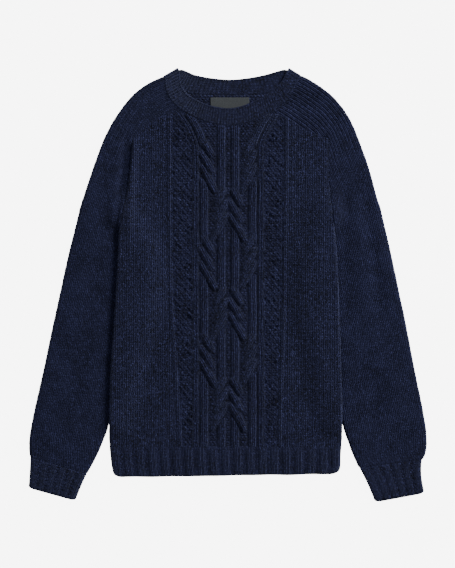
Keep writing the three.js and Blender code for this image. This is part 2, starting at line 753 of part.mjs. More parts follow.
function sleeve(side) {
  const rows = sleeveRows(side);
  const spotsFor = (i) => {
    const shares = evenShares(i < NECK_ROWS ? NECK_PARTS : SLEEVE_PARTS);
    return sectionSpots(shares, shares);
  };
  const outer = rows.map((row, i) => spotsFor(i).map((spot) => outerPoint(sleevePlace(row, spot))));
  const inner = rows.map((row, i) => spotsFor(i).map((spot) => innerPoint(sleevePlace(row, spot))));
  const step = SADDLE_STEP_OFF[side];
  return new Slab().build(leaveGap(outer, step), leaveGap(inner, step));
}

function cuff(side) {
  const sleeveEnd = (side === "left" ? TUBE_LEFT : TUBE_RIGHT).at(-2);
  const table = [sleeveEnd, ...(side === "left" ? CUFF_LEFT : CUFF_RIGHT)];
  const rows = withFoldMiddles(table.map(({ inner, outer }) => tubeRow(inner, outer)), side).slice(1);
  const frontShares = [...ribShares(CUFF_RIBS).slice(0, -1), { share: 1, rise: 0 }];
  const ribbed = sectionSpots(frontShares, evenShares(CUFF_BACK_PARTS));
  const ribbedPoint = (row, spot) => outerPoint(sleevePlace(row, spot), (spot.rise ?? 0) * RIB_HEIGHT);
  const outer = rows.map((row) => ribbed.map((spot) => ribbedPoint(row, spot)));
  const inner = rows.map((row) => ribbed.map((spot) => innerPoint(sleevePlace(row, spot))));
  const step = rows[1].middle.clone().sub(rows[0].middle).setLength(SEAM_GAP);
  return new Slab().build(leaveGap(outer, step), leaveGap(inner, step));
}

// Neckband: a ring of ribs round the neck. The back's outside lies flat, so its ribs show on the inside.

const BAND_LEVELS = [0, 1];

function bandLayerSpots(layer, ribs) {
  return ribShares(ribs).map(({ share, rise }) => ({ layer, share, rise }));
}

function bandPlace(spot, level) {
  const pickEnd = (points) => points[spot.turnSide === "left" ? 0 : points.length - 1];
  if (spot.turn !== undefined) {
    const free = flatVector(pickEnd(BAND_FRONT_FREE));
    const seam = flatVector(pickEnd(BAND_FRONT_SEAM));
    const outward = bandFoldOutward(spot.turnSide);
    return sleevePlace({ middle: free.lerp(seam, level), outward }, spot);
  }
  const [free, seam] = spot.layer === "front" ? BAND_CURVES.front : BAND_CURVES.back;
  const { x, y } = free.getPoint(spot.share).lerp(seam.getPoint(spot.share), level);
  const up = spot.layer === "front" ? 1 : -1;
  return place(x, y, up > 0 ? FRONT_MID : BACK_MID, 0, 0, up);
}

const BAND_CURVES = {
  front: [curveThrough(BAND_FRONT_FREE), curveThrough(BAND_FRONT_SEAM)],
  back: [curveThrough(BAND_BACK_FREE), curveThrough(BAND_BACK_SEAM)],
};

function neckband() {
  const turns = (side, order) => order.map((turn) => ({ turn, turnSide: side }));
  const spots = [
    ...turns("left", [1, ...[...FOLD_TURNS].reverse(), 0]),
    ...bandLayerSpots("front", BAND_FRONT_RIBS),
    ...turns("right", [0, ...FOLD_TURNS, 1]),
    ...bandLayerSpots("back", BAND_BACK_RIBS).reverse(),
  ];
  const rise = (spot, layer) => (spot.layer === layer ? spot.rise * BAND_RIB_HEIGHT : 0);
  const outside = (spot, level) => outerPoint(bandPlace(spot, level), rise(spot, "front"));
  const inside = (spot, level) => {
    const at = bandPlace(spot, level);
    return innerPoint(at).addScaledVector(at.normal, -rise(spot, "back"));
  };
  const linesOf = (pointOf) => spots.map((spot) => BAND_LEVELS.map((level) => pointOf(spot, level)));
  return new Slab().build(linesOf(outside), linesOf(inside), true);
}

// Label: a flat bare tape on the inside of the back

function neckLabel() {
  const height = LABEL_TOP_Y - LABEL_BOTTOM_Y;
  const geometry = new THREE.BoxGeometry(LABEL_RIGHT_X - LABEL_LEFT_X, height, LABEL_THICKNESS);
  const z = BACK_MID + WALL / 2 + SEAM_GAP + LABEL_THICKNESS / 2;
  geometry.translate((LABEL_LEFT_X + LABEL_RIGHT_X) / 2, LABEL_BOTTOM_Y + height / 2, z);
  return geometry;
}

// The whole sweater

const sweater = new THREE.Group();
sweater.name = "cable_knit_sweater";

function addPiece(name, geometry, material = clothMaterial()) {
  const piece = new THREE.Mesh(geometry, material);
  piece.name = name;
  sweater.add(piece);
}

addPiece("front_panel", frontPanel());
addPiece("back_panel", backPanel());
addPiece("sleeve_left", sleeve("left"));
addPiece("sleeve_right", sleeve("right"));
addPiece("neckband", neckband());
addPiece("hem_rib_front", hem("front"));
addPiece("hem_rib_back", hem("back"));
addPiece("cuff_rib_left", cuff("left"));
addPiece("cuff_rib_right", cuff("right"));
addPiece("neck_label", neckLabel(), new THREE.MeshStandardMaterial({ color: LABEL_GREY, roughness: 0.8 }));

export default sweater;
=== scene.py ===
"""Cable knit sweater laid flat: the dressed model, on the frame of its solids.

Sizes are millimetres until a mesh is made, which is in metres.
"""

import logging
import math
from dataclasses import dataclass
from enum import Enum
from typing import Callable, Sequence

import bpy
import numpy as np
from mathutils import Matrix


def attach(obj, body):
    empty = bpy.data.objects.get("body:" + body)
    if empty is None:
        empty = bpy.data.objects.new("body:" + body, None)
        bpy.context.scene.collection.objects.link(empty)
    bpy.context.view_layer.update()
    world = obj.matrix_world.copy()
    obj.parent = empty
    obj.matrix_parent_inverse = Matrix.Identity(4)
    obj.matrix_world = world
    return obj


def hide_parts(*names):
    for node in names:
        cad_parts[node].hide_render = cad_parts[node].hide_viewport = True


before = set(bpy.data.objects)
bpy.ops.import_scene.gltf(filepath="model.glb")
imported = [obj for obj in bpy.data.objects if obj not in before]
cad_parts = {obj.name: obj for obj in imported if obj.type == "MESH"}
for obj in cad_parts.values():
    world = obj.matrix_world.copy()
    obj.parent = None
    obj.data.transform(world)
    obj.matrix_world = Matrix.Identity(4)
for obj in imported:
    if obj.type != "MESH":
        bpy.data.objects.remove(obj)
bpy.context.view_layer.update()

LOG = logging.getLogger("sweater")
MM = 0.001
Array = np.ndarray


class Side(Enum):
    """The picture's left or right side."""

    LEFT = "left"
    RIGHT = "right"

    @property
    def outward(self) -> float:
        """Sign of X that faces away from the body."""
        return -1.0 if self is Side.LEFT else 1.0


class Layer(Enum):
    """The upper or the lower layer of the laid garment."""

    FRONT = "front"
    BACK = "back"

    @property
    def up(self) -> float:
        """Sign of Z that the layer's outside faces."""
        return 1.0 if self is Layer.FRONT else -1.0


@dataclass(frozen=True)
class Cloth:
    """Thickness and heights of the knitted layers, in millimetres.

    half_gap is negative, because the edges of sewn pieces press into each other.
    """

    wall: float = 3.0
    air: float = 1.6
    half_gap: float = -0.4
    wale: float = 5.9
    course: float = 4.1
    rope_wale: float = 6.6

    @property
    def back_mid(self) -> float:
        """Height of the middle of the lower layer."""
        return self.wall / 2

    @property
    def front_mid(self) -> float:
        """Height of the middle of the upper layer."""
        return self.back_mid + self.wall + self.air

    @property
    def fold_radius(self) -> float:
        """Radius of the middle of the wall where a side folds over."""
        return (self.front_mid - self.back_mid) / 2

    @property
    def fold_reach(self) -> float:
        """Distance from a fold's middle to its outer edge."""
        return self.fold_radius + self.wall / 2

    @property
    def lift(self) -> float:
        """How far a layer rises to ride over a sleeve."""
        return self.front_mid + self.wall / 2 + 0.8


CLOTH = Cloth()

UNDERARM_Y = 105.6
HEM_SEAM_Y = -269.0
ROLL_START_Y = 132.0
RAMP_WIDTH = 48.0
TUCK_MARGIN = 8.0
SLEEVE_LIFT_WIDTH = 32.0
TUBE_LIFT_END_Y = 70.0
TUBE_SEAM_Y = 30.0
UNDERARM_TUCK = 2.2

# Numbers of sections down a saddle, of steps over a rolled edge and of steps round a fold
SADDLE_SECTIONS = 9
ROLL_STEPS = 5
FOLD_STEPS = 8

# Row of the neckband tables where sleeve and body meet, counted from either fold
BAND_CORNER = 3

# Side edges of the body: y, left x, right x
BODY_SIDES = np.array([
    (-317, -187.4, 179.4), (-304, -190.6, 183.4), (-282, -193.5, 184.6), (-257, -195.1, 186.2),
    (-224, -195.1, 186.9), (-142, -193.2, 185.2), (-59, -187, 182.7), (23, -182.2, 179.4),
    (64, -180.3, 177), (105.6, -177, 172.8), (147, -168.7, 168), (188, -162.5, 165.2), (240, -158, 164.6),
])

# How far a sleeve lies under the body, and the share of the lift there: y, tuck, lifted
TUCKS = np.array([
    (-320, 0, 0), (-266, 0, 0), (-222, 0, 1), (-210, 3, 1), (-142, 14, 1), (-59, 32, 1), (-10, 38, 1),
    (31, 37, 1), (60, 27, 1), (85, 12, 1), (110, 0, 1), (172, 0, 0), (240, 0, 0),
])

# Outer borders of the moss columns: y, left x, right x
MOSS_BORDERS = np.array([
    (-269, -79, 84.5), (-140, -87.5, 88), (-26, -94.5, 92), (120, -97, 94.5), (281, -97, 96.5),
])

# Saddle seams from the neck outwards: seam on the front, outer fold of the shoulder, seam on the back
SADDLES = {
    Side.LEFT: np.array([
        (-68.1, 280.5, -107.7, 342.4, -68.1, 314.2), (-96.1, 279.8, -132.4, 330.8, -96.1, 303),
        (-118.4, 271.5, -155.5, 313.6, -118.4, 290), (-139, 257, -175.3, 290.8, -139, 269),
        (-158, 240, -192.2, 265.2, -158, 240),
    ]),
    Side.RIGHT: np.array([
        (67.2, 280.5, 120, 344, 67.2, 314.6), (92.3, 277.5, 138.5, 333.6, 92.3, 305),
        (117.5, 260.5, 156.5, 321.6, 117.5, 291), (141.5, 247.5, 175, 306, 141.5, 270),
        (164.6, 240, 192.6, 284, 164.6, 240),
    ]),
}

# Outer fold of a sleeve beside the armhole: y of the armhole, fold x, fold y
ARMHOLES = {
    Side.LEFT: np.array([
        (214, -204.8, 240), (188, -214.9, 212.8), (160, -223.8, 187), (132, -232.8, 160),
        (105.6, -243, 128.7),
    ]),
    Side.RIGHT: np.array([
        (214, 204.6, 262.5), (188, 213.6, 239.4), (160, 221.8, 216), (132, 231.2, 188),
        (105.6, 243.8, 142),
    ]),
}

# Sleeve below the underarm: inner fold x, y, outer fold x, y
TUBES = {
    Side.LEFT: np.array([
        (-178.6, 96, -246.8, 114), (-173.5, 85, -250.6, 98), (-166, 73, -254.4, 83), (-158, 60, -258.2, 68),
        (-146.5, 30, -265.8, 36), (-144.5, -10, -275.4, -8), (-154.5, -59, -287.2, -62),
        (-178.8, -142, -302.9, -136), (-192, -200, -313.6, -184), (-198.6, -234.3, -320.3, -214),
        (-205.6, -254.1, -325.2, -240), (-213.6, -273.9, -327.6, -258), (-223.4, -293.7, -327.6, -275),
        (-233.9, -313, -326.2, -287.1),
    ]),
    Side.RIGHT: np.array([
        (174.4, 96, 248.8, 127), (169.5, 85, 252.9, 110), (162, 73, 257, 93), (154, 60, 261, 76),
        (143, 30, 268.9, 41), (142, -10, 278.6, -6), (151, -59, 289.8, -58), (171.6, -142, 304.4, -134),
        (184, -198, 315, -186), (191.2, -234.3, 320.6, -214), (197.8, -254.1, 324.6, -240),
        (204.8, -273.9, 325.9, -262), (211.6, -290, 323.6, -279), (217.4, -303.6, 319, -291),
    ]),
}
CUFFS = {
    Side.LEFT: np.array([
        (-233.9, -313, -326.2, -287.1), (-243.2, -333.3, -327.4, -312), (-252.4, -355.8, -329, -335.4),
    ]),
    Side.RIGHT: np.array([
        (217.4, -303.6, 319, -291), (229.6, -328, 318.4, -316), (242.6, -358.2, 322.6, -343.4),
    ]),
}

# Neckband, left fold to right fold: seam x, y and free edge x, y
BANDS = {
    Layer.FRONT: np.array([
        (-105.9, 339, -80.4, 353.8), (-102.7, 316.8, -77.5, 330), (-89.5, 296, -68, 314.5),
        (-68.1, 280.5, -53.5, 304.4), (-46.2, 270.6, -38, 297.5), (-23.4, 263.4, -20, 292.2),
        (0, 261, 2, 289.8), (23, 263.4, 22, 293.4), (45.8, 270.6, 42, 301.5),
        (67.2, 280.5, 58.5, 309.8), (88, 294, 74, 321), (104, 314, 87.5, 334), (118.2, 340.6, 97.0, 353.6),
    ]),
    Layer.BACK: np.array([
        (-105.9, 339, -80.4, 353.8), (-98.8, 330.5, -76.2, 353.8), (-91, 322, -70, 351.4),
        (-68.1, 314.2, -54, 344.8),
        (-36, 311.8, -28, 339.8), (0, 311.2, 2.9, 337.2), (34, 311.8, 31, 339.6), (67.2, 314.6, 58, 344.5),
        (99, 323.5, 84, 351.8), (108.8, 332, 91.5, 353.7), (118.2, 340.6, 97.0, 353.6),
    ]),
}


def smooth(t: Array) -> Array:
    """Ease from 0 to 1.

    Args:
        t: Position, held to the range 0 to 1.

    Returns:
        The eased value.
    """
    u = np.clip(t, 0.0, 1.0)
    return u * u * (3 - 2 * u)


def spline(knots: Array, values: Array, at: Array) -> Array:
    """Smooth curve through values that are given at rising knots.

    Args:
        knots: Rising positions.
        values: One value, or one row of values, for each knot.
        at: Positions to read, held to the knots' range.

    Returns:
        The value, or row of values, at each position.
    """
    flat = values.ndim == 1
    rows = values[:, None] if flat else values
    where = np.clip(at, knots[0], knots[-1])
    shape = where.shape
    x = where.ravel()
    i = np.clip(np.searchsorted(knots, x, side="right") - 1, 0, len(knots) - 2)
    slopes = np.gradient(rows, knots, axis=0, edge_order=1)
    span = (knots[i + 1] - knots[i])[:, None]
    t = ((x - knots[i])[:, None]) / span
    low = rows[i] * (1 + 2 * t) * (1 - t) ** 2 + slopes[i] * span * t * (1 - t) ** 2
    high = rows[i + 1] * t**2 * (3 - 2 * t) + slopes[i + 1] * span * t**2 * (t - 1)
    out = low + high
    return out.reshape(shape) if flat else out.reshape(*shape, rows.shape[1])


def even_curve(points: Array, count: int) -> Array:
    """Smooth curve through points that are numbered evenly.

    Args:
        points: One row of coordinates for each point.
        count: How many places to return.

    Returns:
        The places, from the first point to the last.
    """
    numbers = np.arange(len(points), dtype=float)
    return spline(numbers, points, np.linspace(0, len(points) - 1, count))


def wander(x: Array, y: Array, seed: int, size: float) -> Array:
    """Soft uneven waves without a repeat that shows.

    Args:
        x: First coordinate, in millimetres.
        y: Second coordinate, in millimetres.
        seed: Number that picks the waves.
        size: Rough length of a wave, in millimetres.

    Returns:
        Values of about -1 to 1.
    """
    draw = np.random.default_rng(seed)
    total = np.zeros(np.broadcast(x, y).shape)
    waves = 9
    for _ in range(waves):
        angle = draw.uniform(0, math.tau)
        step = math.tau / (size * draw.uniform(0.6, 1.7))
        total += np.sin(step * (x * math.cos(angle) + y * math.sin(angle)) + draw.uniform(0, math.tau))
    return total / math.sqrt(waves * 1.5)


@dataclass(frozen=True)
class Sheet:
    """A grid of places on the middle of a wall, row by row.

    Attributes:
        points: Middle of the wall, in millimetres, as rows by columns by 3.
        normals: Directions that face out, of the same shape.
        knit: Stitch coordinates, wales across and courses along, as rows by columns by 2.
    """

    points: Array
    normals: Array
    knit: Array


@dataclass(frozen=True)
class Roll:
    """Section of a layer's edge, where it rolls over towards the other layer."""

    bend: Array

    @property
    def length(self) -> float:
        """Length of the roll along the cloth."""
        return CLOTH.fold_radius * math.pi / 2

    def place(self, along: Array) -> tuple[Array, Array, Array]:
        """Find a place on the roll.

        Args:
            along: 0 at the edge of the piece and 1 where the layer lies flat.

        Returns:
            Distance in from the seam, drop from the layer's height, and the slant as an angle.
        """
        bend = np.maximum(self.bend, 0.01)
        radius = self.length / bend
        turned = bend * (1 - along)
        full = radius * (1 - np.cos(bend))
        room = CLOTH.fold_radius - CLOTH.half_gap - CLOTH.wall / 2 * np.cos(bend)
        eased = np.where(full > room, room / np.maximum(full, 1e-6), 1.0)
        inset = CLOTH.half_gap + CLOTH.wall / 2 * np.sin(bend) + radius * (np.sin(bend) - np.sin(turned))
        return inset, eased * radius * (1 - np.cos(turned)), turned


@dataclass(frozen=True)
class BodyForm:
    """The laid tube of the body: its sides, its lifts over the sleeves and its top seams."""

    bottom: float = HEM_SEAM_Y + CLOTH.half_gap

    def side(self, side: Side, y: Array) -> Array:
        """X of a side edge at height y."""
        edge = BODY_SIDES[:, 1 if side is Side.LEFT else 2]
        return spline(BODY_SIDES[:, 0], edge, np.asarray(y, dtype=float))

    def lift(self, x: Array, y: Array) -> Array:
        """Height that a place gains where the body rides over a sleeve.

        Args:
            x: Across the body, in millimetres.
            y: Along the body, in millimetres.

        Returns:
            The lift, in millimetres.
        """
        inset = np.minimum(x - self.side(Side.LEFT, y), self.side(Side.RIGHT, y) - x)
        tuck = spline(TUCKS[:, 0], TUCKS[:, 1], y)
        share = smooth(np.interp(y, TUCKS[:, 0], TUCKS[:, 2]))
        return CLOTH.lift * share * (1 - smooth((inset - tuck - TUCK_MARGIN) / RAMP_WIDTH))

    def bend(self, y: Array) -> Array:
        """Angle that the side rolls through: a quarter turn below the underarm, none at the armhole."""
        return math.pi / 2 * (1 - smooth((y - UNDERARM_Y) / (ROLL_START_Y - UNDERARM_Y)))

    def top(self, layer: Layer, x: Array) -> Array:
        """Height of the top seam of a layer.

        Args:
            layer: Which layer.
            x: Across the body, in millimetres.

        Returns:
            Y of the seam, less its gap.
        """
        column = 0 if layer is Layer.FRONT else 4
        left = even_curve(SADDLES[Side.LEFT][:, column:column + 2], SADDLE_SECTIONS)[::-1]
        right = even_curve(SADDLES[Side.RIGHT][:, column:column + 2], SADDLE_SECTIONS)
        neck = even_curve(BANDS[layer][:, :2], 600)
        neck = neck[(neck[:, 0] > left[-1, 0] + 0.5) & (neck[:, 0] < right[0, 0] - 0.5)]
        line = np.concatenate([left, neck, right])
        return np.interp(x, line[:, 0], line[:, 1]) - 2 * CLOTH.half_gap

    def sheet(self, layer: Layer, spacing: float, levels: Callable[[Array], Array]) -> Sheet:
        """Lay a grid over one layer, from side seam to side seam.

        Args:
            layer: Which layer.
            spacing: Width of a column on the flat, in millimetres.
            levels: Turns the columns' x into rows of y.

        Returns:
            The grid on the middle of the wall.
        """
        roll_steps = np.linspace(0, 1, ROLL_STEPS + 1)[:-1]
        width = self.side(Side.RIGHT, 0.0) - self.side(Side.LEFT, 0.0)
        share = np.linspace(0, 1, int(width / spacing))
        count = len(roll_steps)
        columns = len(share) + 2 * count
        on_left = np.arange(columns) < count
        on_right = np.arange(columns) >= columns - count
        along = np.ones(columns)
        along[:count] = roll_steps
        along[-count:] = roll_steps[::-1]
        fraction = np.zeros(columns)
        fraction[count:-count] = share
        fraction[-count:] = 1

        def x_at(y: Array) -> tuple[Array, Array, Array]:
            """Place the columns at given heights.

            Args:
                y: One row of heights for each row of the grid.

            Returns:
                X, drop from the layer's height, and the slant as an angle.
            """
            roll = Roll(self.bend(y))
            flat_inset = roll.place(np.ones_like(y))[0]
            inset, drop, turned = roll.place(np.broadcast_to(along, y.shape))
            left, right = self.side(Side.LEFT, y), self.side(Side.RIGHT, y)
            flat = (left + flat_inset) * (1 - fraction) + (right - flat_inset) * fraction
            x = np.where(on_left, left + inset, np.where(on_right, right - inset, flat))
            rolled = on_left | on_right
            return x, np.where(rolled, drop, 0.0), np.where(rolled, turned, 0.0)

        top_x = x_at(np.full((1, columns), BODY_SIDES[-1, 0]))[0]
        y = levels(top_x[0])
        x, drop, turned = x_at(y)
        lift = np.where(on_left, self.lift(self.side(Side.LEFT, y), y), self.lift(x, y))
        lift = np.where(on_right, self.lift(self.side(Side.RIGHT, y), y), lift)
        slope = (self.lift(x + 1, y) - self.lift(x - 1, y)) / 2
        slope = np.where(on_left | on_right, 0.0, slope)
        mid = CLOTH.front_mid if layer is Layer.FRONT else CLOTH.back_mid
        z = mid - layer.up * drop + lift
        inward = np.where(on_left, 1.0, np.where(on_right, -1.0, 0.0))
        nx = -inward * np.sin(turned) - slope * layer.up
        nz = layer.up * np.cos(turned)
        normals = np.stack([nx, np.zeros_like(nx), nz], axis=-1)
        normals /= np.linalg.norm(normals, axis=-1, keepdims=True)
        points = np.stack([x, y, z], axis=-1)
        beyond = np.where(on_left, -(1 - along), np.where(on_right, 1 - along, 0.0)) * Roll(y * 0).length
        knit = np.stack([(x + beyond) / CLOTH.wale, y / CLOTH.course], axis=-1)
        return Sheet(points, normals, knit)


def with_rims(start: float, end: float, spacing: float) -> Array:
    """Even levels between two ends, with narrow ones at both ends for rounded rims.

    Args:
        start: First level.
        end: Last level.
        spacing: Distance between levels away from the ends.

    Returns:
        The levels, from start to end.
    """
    near = np.array([0.0, 0.25, 0.7, 1.3, 2.2])
    sign = math.copysign(1.0, end - start)
    inner = np.linspace(near[-1], abs(end - start) - near[-1], max(2, int(abs(end - start) / spacing)))
    distances = np.concatenate([near[:-1], inner, abs(end - start) - near[:-1][::-1]])
    return start + sign * distances


@dataclass(frozen=True)
class SleeveForm:
    """A sleeve as sections from the front seam, round the outer fold, to the back seam."""

    side: Side
    body: BodyForm = BodyForm()

    def key_rows(self) -> dict[str, Array]:
        """Sections that the tables give, from the neck to the cuff's end.

        Returns:
            Named columns, with one entry for each section.
        """
        saddle = even_curve(SADDLES[self.side], SADDLE_SECTIONS)
        armhole, tube, cuff = ARMHOLES[self.side], TUBES[self.side], CUFFS[self.side][1:]
        seam_x = self.body.side(self.side, armhole[:, 0])
        arm_seam = np.stack([seam_x, armhole[:, 0]], axis=-1)
        below = np.concatenate([tube, cuff])
        below[:, 0] -= self.side.outward * UNDERARM_TUCK * smooth((below[:, 1] - TUBE_SEAM_Y) / 40)
        front = np.concatenate([saddle[:, 0:2], arm_seam, below[:, 0:2]])
        back = np.concatenate([saddle[:, 4:6], arm_seam, below[:, 0:2]])
        fold = np.concatenate([saddle[:, 2:4], armhole[:, 1:3], below[:, 2:4]])
        along = np.empty_like(fold)
        along[1:-1] = fold[2:] - fold[:-2]
        along[0], along[-1] = fold[1] - fold[0], fold[-1] - fold[-2]
        along /= np.linalg.norm(along, axis=1, keepdims=True)
        turn = -self.side.outward
        outward = np.stack([along[:, 1] * turn, -along[:, 0] * turn], axis=-1)
        outward[0] = band_outward(self.side)
        middle = fold - outward * CLOTH.fold_reach
        middle[0] = BANDS[Layer.FRONT][0 if self.side is Side.LEFT else -1, :2]
        fall = smooth((tube[:, 1] - TUBE_LIFT_END_Y) / (UNDERARM_Y - TUBE_LIFT_END_Y))
        lift = np.concatenate([
            np.zeros(len(saddle)), self.body.lift(seam_x, armhole[:, 0]),
            CLOTH.lift * fall, np.zeros(len(cuff)),
        ])
        bend = np.concatenate([
            np.zeros(len(saddle)), self.body.bend(armhole[:, 0]), np.full(len(below), math.pi / 2),
        ])
        bow = np.zeros(len(front))
        bow[:len(saddle)] = np.clip(1 - np.arange(len(saddle)) * 0.5, 0, 1) ** 2
        return {
            "front": front, "back": back, "middle": middle, "outward": outward,
            "bend": bend[:, None], "lift": lift[:, None], "bow": bow[:, None],
        }

    def bows(self, layer: Layer, share: Array) -> Array:
        """How far the neckband's curve stands from a straight line at the sleeve's top.

        Args:
            layer: Which layer.
            share: 0 at the seam to the body and 1 at the shoulder's fold.

        Returns:
            One offset in x and y for each share.
        """
        seam = BANDS[layer][:, :2]
        last = len(seam) - 1
        start, end = (BAND_CORNER, 0) if self.side is Side.LEFT else (last - BAND_CORNER, last)
        numbers = np.arange(len(seam), dtype=float)
        curve = spline(numbers, seam, start + (end - start) * share)
        chord = seam[start] + (seam[end] - seam[start]) * share[..., None]
        return curve - chord

    def sheet(self, stations: Array, columns: int) -> Sheet:
        """Lay a grid over the sleeve.

        Args:
            stations: Positions down the sleeve, in numbers of the key sections.
            columns: Number of columns on the flat of each layer.

        Returns:
            The grid on the middle of the wall.
        """
        keys = self.key_rows()
        numbers = np.arange(len(keys["bend"]), dtype=float)
        rows = {name: spline(numbers, values, stations) for name, values in keys.items()}
        rows["bend"] = np.clip(rows["bend"], 0, math.pi / 2)
        rows["lift"] = np.clip(rows["lift"], 0, CLOTH.lift)
        rows["outward"] /= np.linalg.norm(rows["outward"], axis=1, keepdims=True)
        roll_steps = np.linspace(0, 1, ROLL_STEPS + 1)[:-1]
        shares = np.linspace(0, 1, columns)
        front = self.layer_places(rows, Layer.FRONT, roll_steps, shares)
        back = self.layer_places(rows, Layer.BACK, roll_steps, shares)
        turns = np.linspace(0, 1, FOLD_STEPS + 1)[1:-1]
        fold = self.fold_places(rows, turns)
        points = np.concatenate([front[0], fold[0], back[0][:, ::-1]], axis=1)
        normals = np.concatenate([front[1], fold[1], back[1][:, ::-1]], axis=1)
        around = np.linalg.norm(np.diff(points, axis=1), axis=-1).cumsum(axis=1)
        around = np.concatenate([np.zeros((len(points), 1)), around], axis=1)
        around -= around[:, around.shape[1] // 2, None]
        axis_step = np.linalg.norm(np.diff(rows["middle"] * 0.6 + rows["front"] * 0.4, axis=0), axis=1)
        down = np.concatenate([[0.0], axis_step.cumsum()])
        courses = np.broadcast_to(-down[:, None], around.shape) / CLOTH.course
        knit = np.stack([around / CLOTH.wale, courses], axis=-1)
        return Sheet(points, normals, knit)

    def layer_places(
        self, rows: dict[str, Array], layer: Layer, rolls: Array, shares: Array
    ) -> tuple[Array, Array]:
        """Places on the upper or the lower layer of the sections.

        Args:
            rows: Named columns, one entry for each section.
            layer: Which layer.
            rolls: Steps of the rolled edge, from 0 to just under 1.
            shares: Steps of the flat, from 0 at the roll to 1 at the fold's middle.

        Returns:
            Points and normals, from the seam to the fold.
        """
        seam = rows["front" if layer is Layer.FRONT else "back"]
        across = rows["middle"] - seam
        width = np.linalg.norm(across, axis=1, keepdims=True)
        across = across / width
        roll = Roll(rows["bend"])
        inset, drop, turned = roll.place(np.broadcast_to(rolls, (len(seam), len(rolls))))
        flat_inset = roll.place(np.ones((len(seam), 1)))[0]
        flat = flat_inset + (width - flat_inset) * shares
        distance = np.concatenate([inset, flat], axis=1)
        flats = np.zeros_like(flat)
        drop = np.concatenate([drop, flats], axis=1)
        turned = np.concatenate([turned, flats], axis=1)
        raised = [rows["lift"] * (1 - smooth((distance + step) / SLEEVE_LIFT_WIDTH)) for step in (-1, 0, 1)]
        slope = (raised[2] - raised[0]) / 2 * (turned == 0)
        mid = CLOTH.front_mid if layer is Layer.FRONT else CLOTH.back_mid
        place = seam[:, None] + across[:, None] * distance[..., None]
        place = place + self.bows(layer, distance / width) * rows["bow"][:, None]
        z = mid - layer.up * drop + raised[1]
        points = np.concatenate([place, z[..., None]], axis=-1)
        lean = -np.sin(turned) - slope * layer.up
        upright = layer.up * np.cos(turned)
        normals = np.concatenate([across[:, None] * lean[..., None], upright[..., None]], axis=-1)
        return points, normals / np.linalg.norm(normals, axis=-1, keepdims=True)

    def fold_places(self, rows: dict[str, Array], turns: Array) -> tuple[Array, Array]:
        """Places on the outer fold of the sections.

        Args:
            rows: Named columns, one entry for each section.
            turns: Shares of the half turn, from the upper layer to the lower one.

        Returns:
            Points and normals.
        """
        angle = turns * math.pi
        flat = rows["outward"][:, None] * np.sin(angle)[None, :, None]
        rise = np.broadcast_to(np.cos(angle)[None, :, None], (len(flat), len(angle), 1))
        normals = np.concatenate([flat, rise], axis=-1)
        height = np.full((len(flat), 1), CLOTH.back_mid + CLOTH.fold_radius)
        centre = np.concatenate([rows["middle"], height], axis=1)
        return centre[:, None] + normals * CLOTH.fold_radius, normals


def band_outward(side: Side) -> Array:
    """Direction in which the neckband's fold faces away from the neck.

    Args:
        side: Which end of the neckband.

    Returns:
        A flat unit direction.
    """
    seam_x, seam_y, free_x, free_y = BANDS[Layer.FRONT][0 if side is Side.LEFT else -1]
    axis = np.array([free_x - seam_x, free_y - seam_y])
    axis /= np.linalg.norm(axis)
    turn = 1.0 if side is Side.LEFT else -1.0
    return np.array([-axis[1] * turn, axis[0] * turn])


def wale_rise(across: Array, depth: float) -> Array:
    """Grooves between the wales of plain knitting.

    Args:
        across: Distance across the wales, in millimetres.
        depth: Depth of a groove.

    Returns:
        A rise that is zero or negative.
    """
    return depth * (np.abs(np.sin(across / CLOTH.wale * math.pi)) ** 0.7 - 1)


def distance_to(path: Array, x: Array, y: Array) -> tuple[Array, Array]:
    """Distance of places from a path on the flat.

    Args:
        path: Corners of the path, one x and y a row.
        x: First coordinate of the places.
        y: Second coordinate of the places.

    Returns:
        The distance, and the share of the path's length at the nearest point.
    """
    lengths = np.linalg.norm(np.diff(path, axis=0), axis=1)
    total = lengths.sum()
    nearest = np.full(np.broadcast(x, y).shape, 1e9)
    along = np.zeros_like(nearest)
    passed = 0.0
    for (ax, ay), (bx, by), length in zip(path[:-1], path[1:], lengths):
        t = np.clip(((x - ax) * (bx - ax) + (y - ay) * (by - ay)) / length**2, 0, 1)
        gap = np.hypot(x - ax - t * (bx - ax), y - ay - t * (by - ay))
        along = np.where(gap < nearest, (passed + t * length) / total, along)
        nearest = np.minimum(nearest, gap)
        passed += length
    return nearest, along


def bump(distance: Array, width: float, height: float, fullness: float = 1.0) -> Array:
    """Section of a rounded ridge.

    Args:
        distance: Distance from the ridge's middle.
        width: Width of the ridge at its foot.
        height: Height of its crest.
        fullness: Below 1 the sides are steeper, and above 1 the crest is narrower.

    Returns:
        The height at each distance.
    """
    return height * np.clip(1 - (2 * distance / width) ** 2, 0, 1) ** fullness


@dataclass(frozen=True)
class Crease:
    """A soft ridge or trough of a layer.

    Attributes:
        path: Corners of its line, in millimetres.
        width: Width from foot to foot.
        height: Height of the ridge, or a negative depth.
    """

    path: tuple[tuple[float, float], ...]
    width: float
    height: float

    def rise(self, x: Array, y: Array) -> Array:
        """Height of the crease, which fades towards both ends of its line.

        Args:
            x: Across the body, in millimetres.
            y: Along the body, in millimetres.

        Returns:
            Rise in millimetres, negative in a trough.
        """
        gap, along = distance_to(np.array(self.path), x, y)
        fade = smooth(along * 3.5) * smooth((1 - along) * 3.5)
        return self.height * np.exp(-((2 * gap / self.width) ** 2)) * fade


def plateau(distance: Array, half_width: float, height: float, edge: float = 4.6) -> Array:
    """Section of a flat ridge with soft sides.

    Args:
        distance: Distance from the ridge's middle.
        half_width: Distance from the middle to the foot.
        height: Height of the flat top.
        edge: Width of one side.

    Returns:
        The height at each distance.
    """
    return height * smooth((half_width - distance) / edge)


